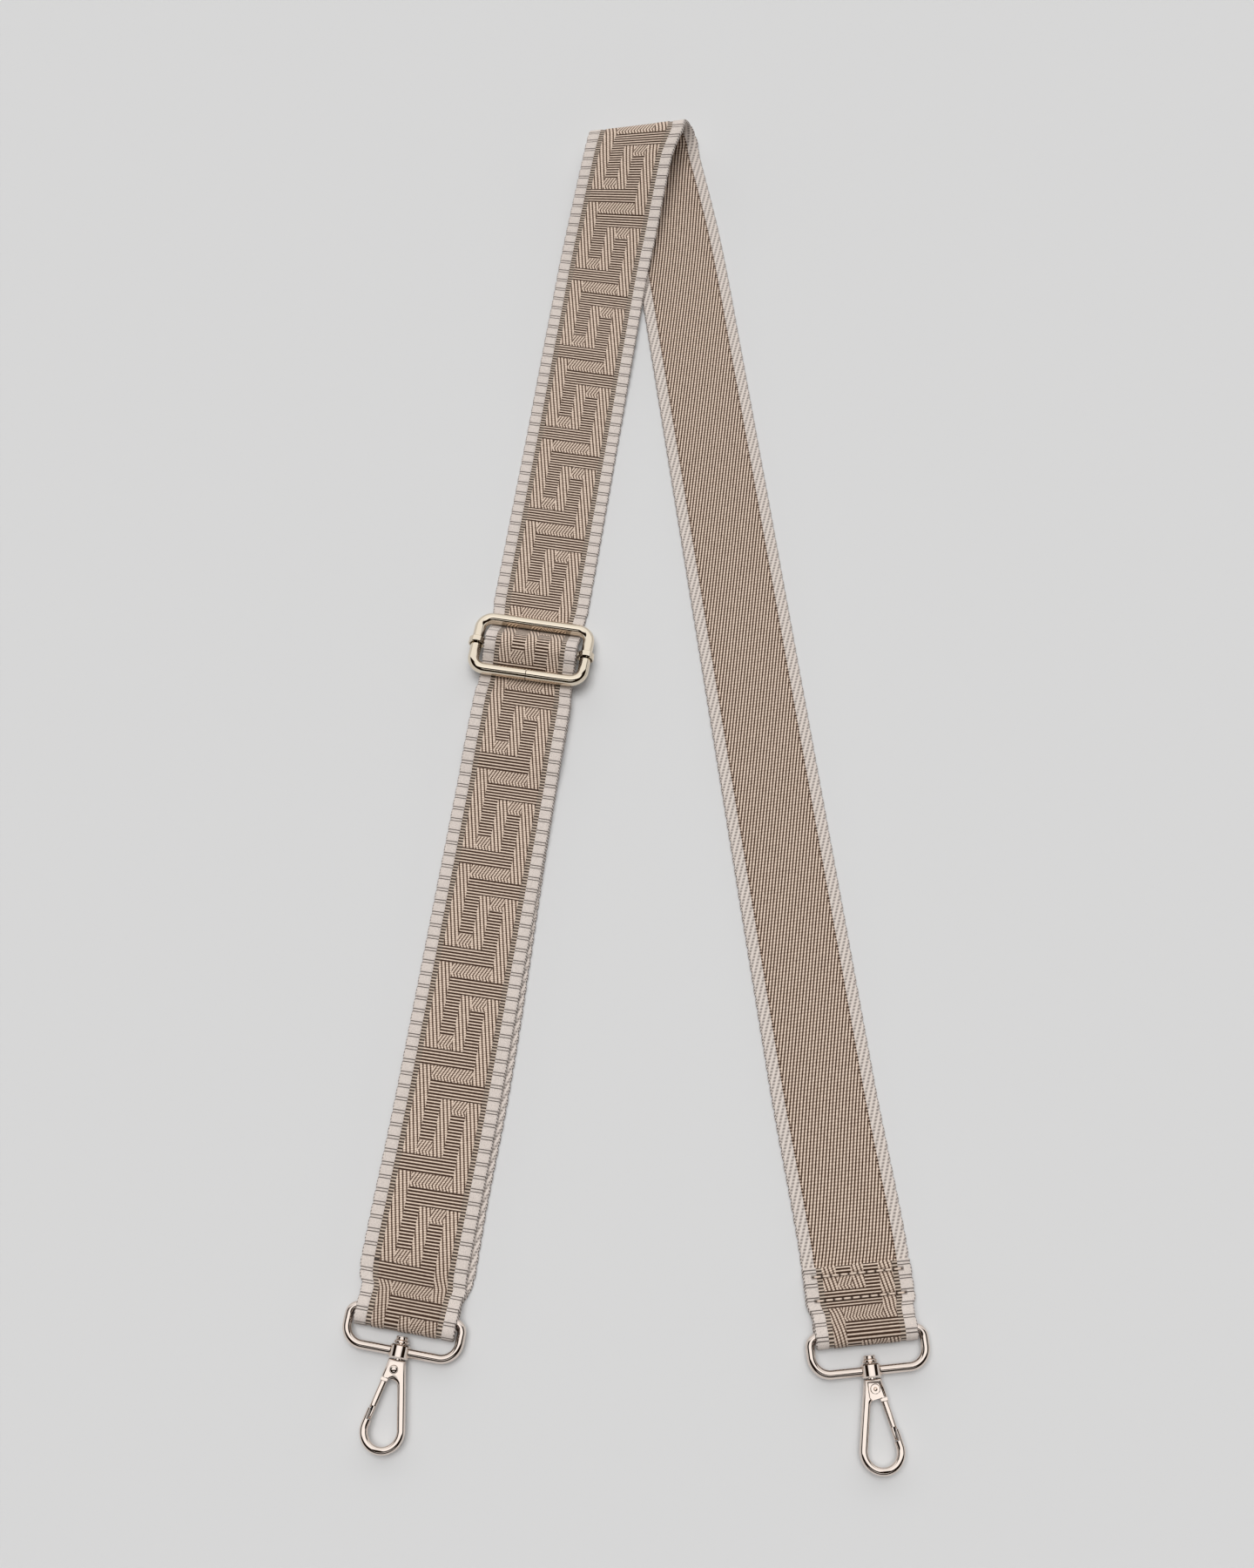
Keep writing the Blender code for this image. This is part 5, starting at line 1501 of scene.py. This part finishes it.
def make_gate(side, hinge):
    """Gate with its rivet hole at the hinge's origin, and a collar band where it leaves the head."""
    name = side + "_gate_bar"
    bar = plate_mesh(name, [gate_outline()], GATE_THICKNESS, GATE_ROUNDING)
    hole = round_mesh("gate_hole", RIVET_HOLE, GATE_THICKNESS + CUT_OVERRUN)
    bar = smooth(carved(moved(bar, -RIVET_X, -RIVET_Y, 0.0), [hole]), CARVED_SHARP_DEGREES)
    new_piece(name, bar, hinge, side + "_gate_lever", GOLD, [side + "_gate"])
    low, high = GATE_INSET - COLLAR_RISE / 2, GATE_INSET + GATE_WIDTH + COLLAR_RISE / 2
    start, end = COLLAR_START, COLLAR_START + COLLAR_LENGTH
    band = [on_flank(low, start), on_flank(low, end), on_flank(high, end), on_flank(high, start)]
    collar = plate_mesh(side + "_gate_collar", [band], GATE_THICKNESS + COLLAR_RISE, COLLAR_RISE / 2)
    collar = smooth(moved(collar, -RIVET_X, -RIVET_Y, 0.0), CARVED_SHARP_DEGREES)
    new_piece(side + "_gate_collar", collar, hinge, side + "_gate_lever", GOLD)


def make_rivet(side, hinge):
    """Rivet with a domed head on the front and a recessed ring head in the pocket behind."""
    shank, head, ring = RIVET_DIAMETER / 2, RIVET_HEAD_DIAMETER / 2, RIVET_RING_DIAMETER / 2
    seat, back = HOOK_THICKNESS / 2, POCKET_DEPTH - HOOK_THICKNESS / 2
    angles = [math.pi / 2 * i / DOME_STEPS for i in range(DOME_STEPS + 1)]
    dome = [(head * math.sin(a), seat + (RIVET_DOME_HEIGHT + RIVET_PLAY) * math.cos(a)) for a in angles]
    low, rim = back - RIVET_RING_HEIGHT, RIVET_RING_CHAMFER
    recess, floor = RIVET_RECESS_DIAMETER / 2, low + RIVET_RECESS_DEPTH
    profile = dome + [(shank, seat), (shank, back), (ring, back), (ring, low + rim), (ring - rim, low),
                      (recess, low), (recess * RECESS_FLOOR_SHARE, floor), (0.0, floor)]
    mesh = smooth(turned_mesh(side + "_rivet", profile))
    new_piece(side + "_rivet", mesh, hinge, side + "_hook", GOLD, [side + "_gate_rivet"])


def make_spring(side, hinge):
    """Torsion spring round the rivet, its two short legs pointing down the hook."""
    low = -(GATE_THICKNESS / 2)
    points = []
    for i in range(SPRING_TURNS * SPRING_STEPS + 1):
        angle = 2 * math.pi * i / SPRING_STEPS
        height = low + SPRING_PITCH * i / SPRING_STEPS
        points.append((SPRING_RADIUS * math.cos(angle), SPRING_RADIUS * math.sin(angle), height))
    first, last = points[0], points[-1]
    points.insert(0, (first[0], first[1] - SPRING_LEG, first[2]))
    points.append((last[0], last[1] + SPRING_LEG / 2, last[2]))
    mesh = smooth(wire_mesh(side + "_spring", points, SPRING_WIRE, resolution=FINE_WIRE_RESOLUTION))
    new_piece(side + "_spring", mesh, hinge, side + "_hook", STEEL, [side + "_gate_spring"])


def make_clip(side, end, about_axis):
    """One ring with its swivel hook; about_axis turns the hook round its post."""
    make_ring(side, end)
    swivel = end @ Matrix.Translation((0.0, -RING_SPACING, 0.0)) @ Matrix.Rotation(about_axis, 4, "Y")
    make_post(side, swivel)
    make_hook(side, swivel)
    hinge = swivel @ Matrix.Translation((RIVET_X, RIVET_Y, 0.0))
    make_gate(side, hinge)
    make_rivet(side, hinge)
    make_spring(side, hinge)


# Studio

def make_floor():
    mesh = bpy.data.meshes.new("floor")
    body = bmesh.new()
    bmesh.ops.create_grid(body, x_segments=1, y_segments=1, size=FLOOR_HALF)
    body.to_mesh(mesh)
    body.free()
    floor = linked("floor", mesh)
    floor.location.z = -FLOOR_DROP
    paper, _, shader = material("floor_paper", FLOOR_GREY, FLOOR_ROUGHNESS, 0.0)
    shader.inputs["Specular IOR Level"].default_value = 0.0
    mesh.materials.append(paper)


def make_world():
    """A plain studio: pale horizon and ceiling, and dark gaps that polished wires show as lines."""
    world = bpy.data.worlds.new("studio")
    bpy.context.scene.world = world
    world.use_nodes = True
    tree = world.node_tree
    background = tree.nodes["Background"]
    height, away = (coordinate(tree, "Generated", axis) for axis in ("Z", "Y"))
    beam = (((away - BEAM_AT).size() * -1.0 + BEAM_HALF) / LIGHT_EDGE).limited()
    ceiling = ((height - DARK_BELOW) / LIGHT_EDGE).limited() * height.softened(CEILING_SLOPE)
    screen = ((away - SCREEN_FROM) / LIGHT_EDGE).limited() * SCREEN_LEVEL
    low = ((height * -1.0 + HORIZON_TO) / LIGHT_EDGE).limited()
    level = (ceiling * beam.turned_over()).highest(screen) * low.turned_over() + low * HORIZON_LEVEL
    tree.links.new(mixed(tree, level, DARK_SKY, BRIGHT_SKY), background.inputs["Color"])
    background.inputs["Strength"].default_value = 1.0


def make_lights():
    """One soft sun from above, a little to the left, which polished metal doesn't show as a white disc."""
    data = bpy.data.lights.new("soft_sun", "SUN")
    data.energy = SUN_ENERGY
    data.angle = math.radians(SUN_ANGLE_DEGREES)
    light = linked("soft_sun", data)
    light.visible_glossy = False
    light.rotation_euler = Vector(SUN_FROM).to_track_quat("Z", "Y").to_euler()


def make_camera():
    data = bpy.data.cameras.new("camera")
    data.lens = CAMERA_LENS
    data.sensor_width = CAMERA_SENSOR
    data.sensor_fit = "AUTO"
    camera = linked("camera", data)
    aim = APEX + Vector((CAMERA_AXIS_X, CAMERA_AXIS_Y, 0.0))
    camera.location = (aim.x, aim.y - CAMERA_BACK, CAMERA_HEIGHT)
    camera.rotation_euler = (math.radians(CAMERA_TILT_DEGREES), 0.0, 0.0)
    bpy.context.scene.camera = camera


make_camera()
make_webbing()
make_all_stitches()
make_slider()
make_clip("left", LEFT_END, 0.0)
make_clip("right", RIGHT_END, math.pi)
make_floor()
make_world()
make_lights()
bpy.context.scene.view_settings.view_transform = "Standard"
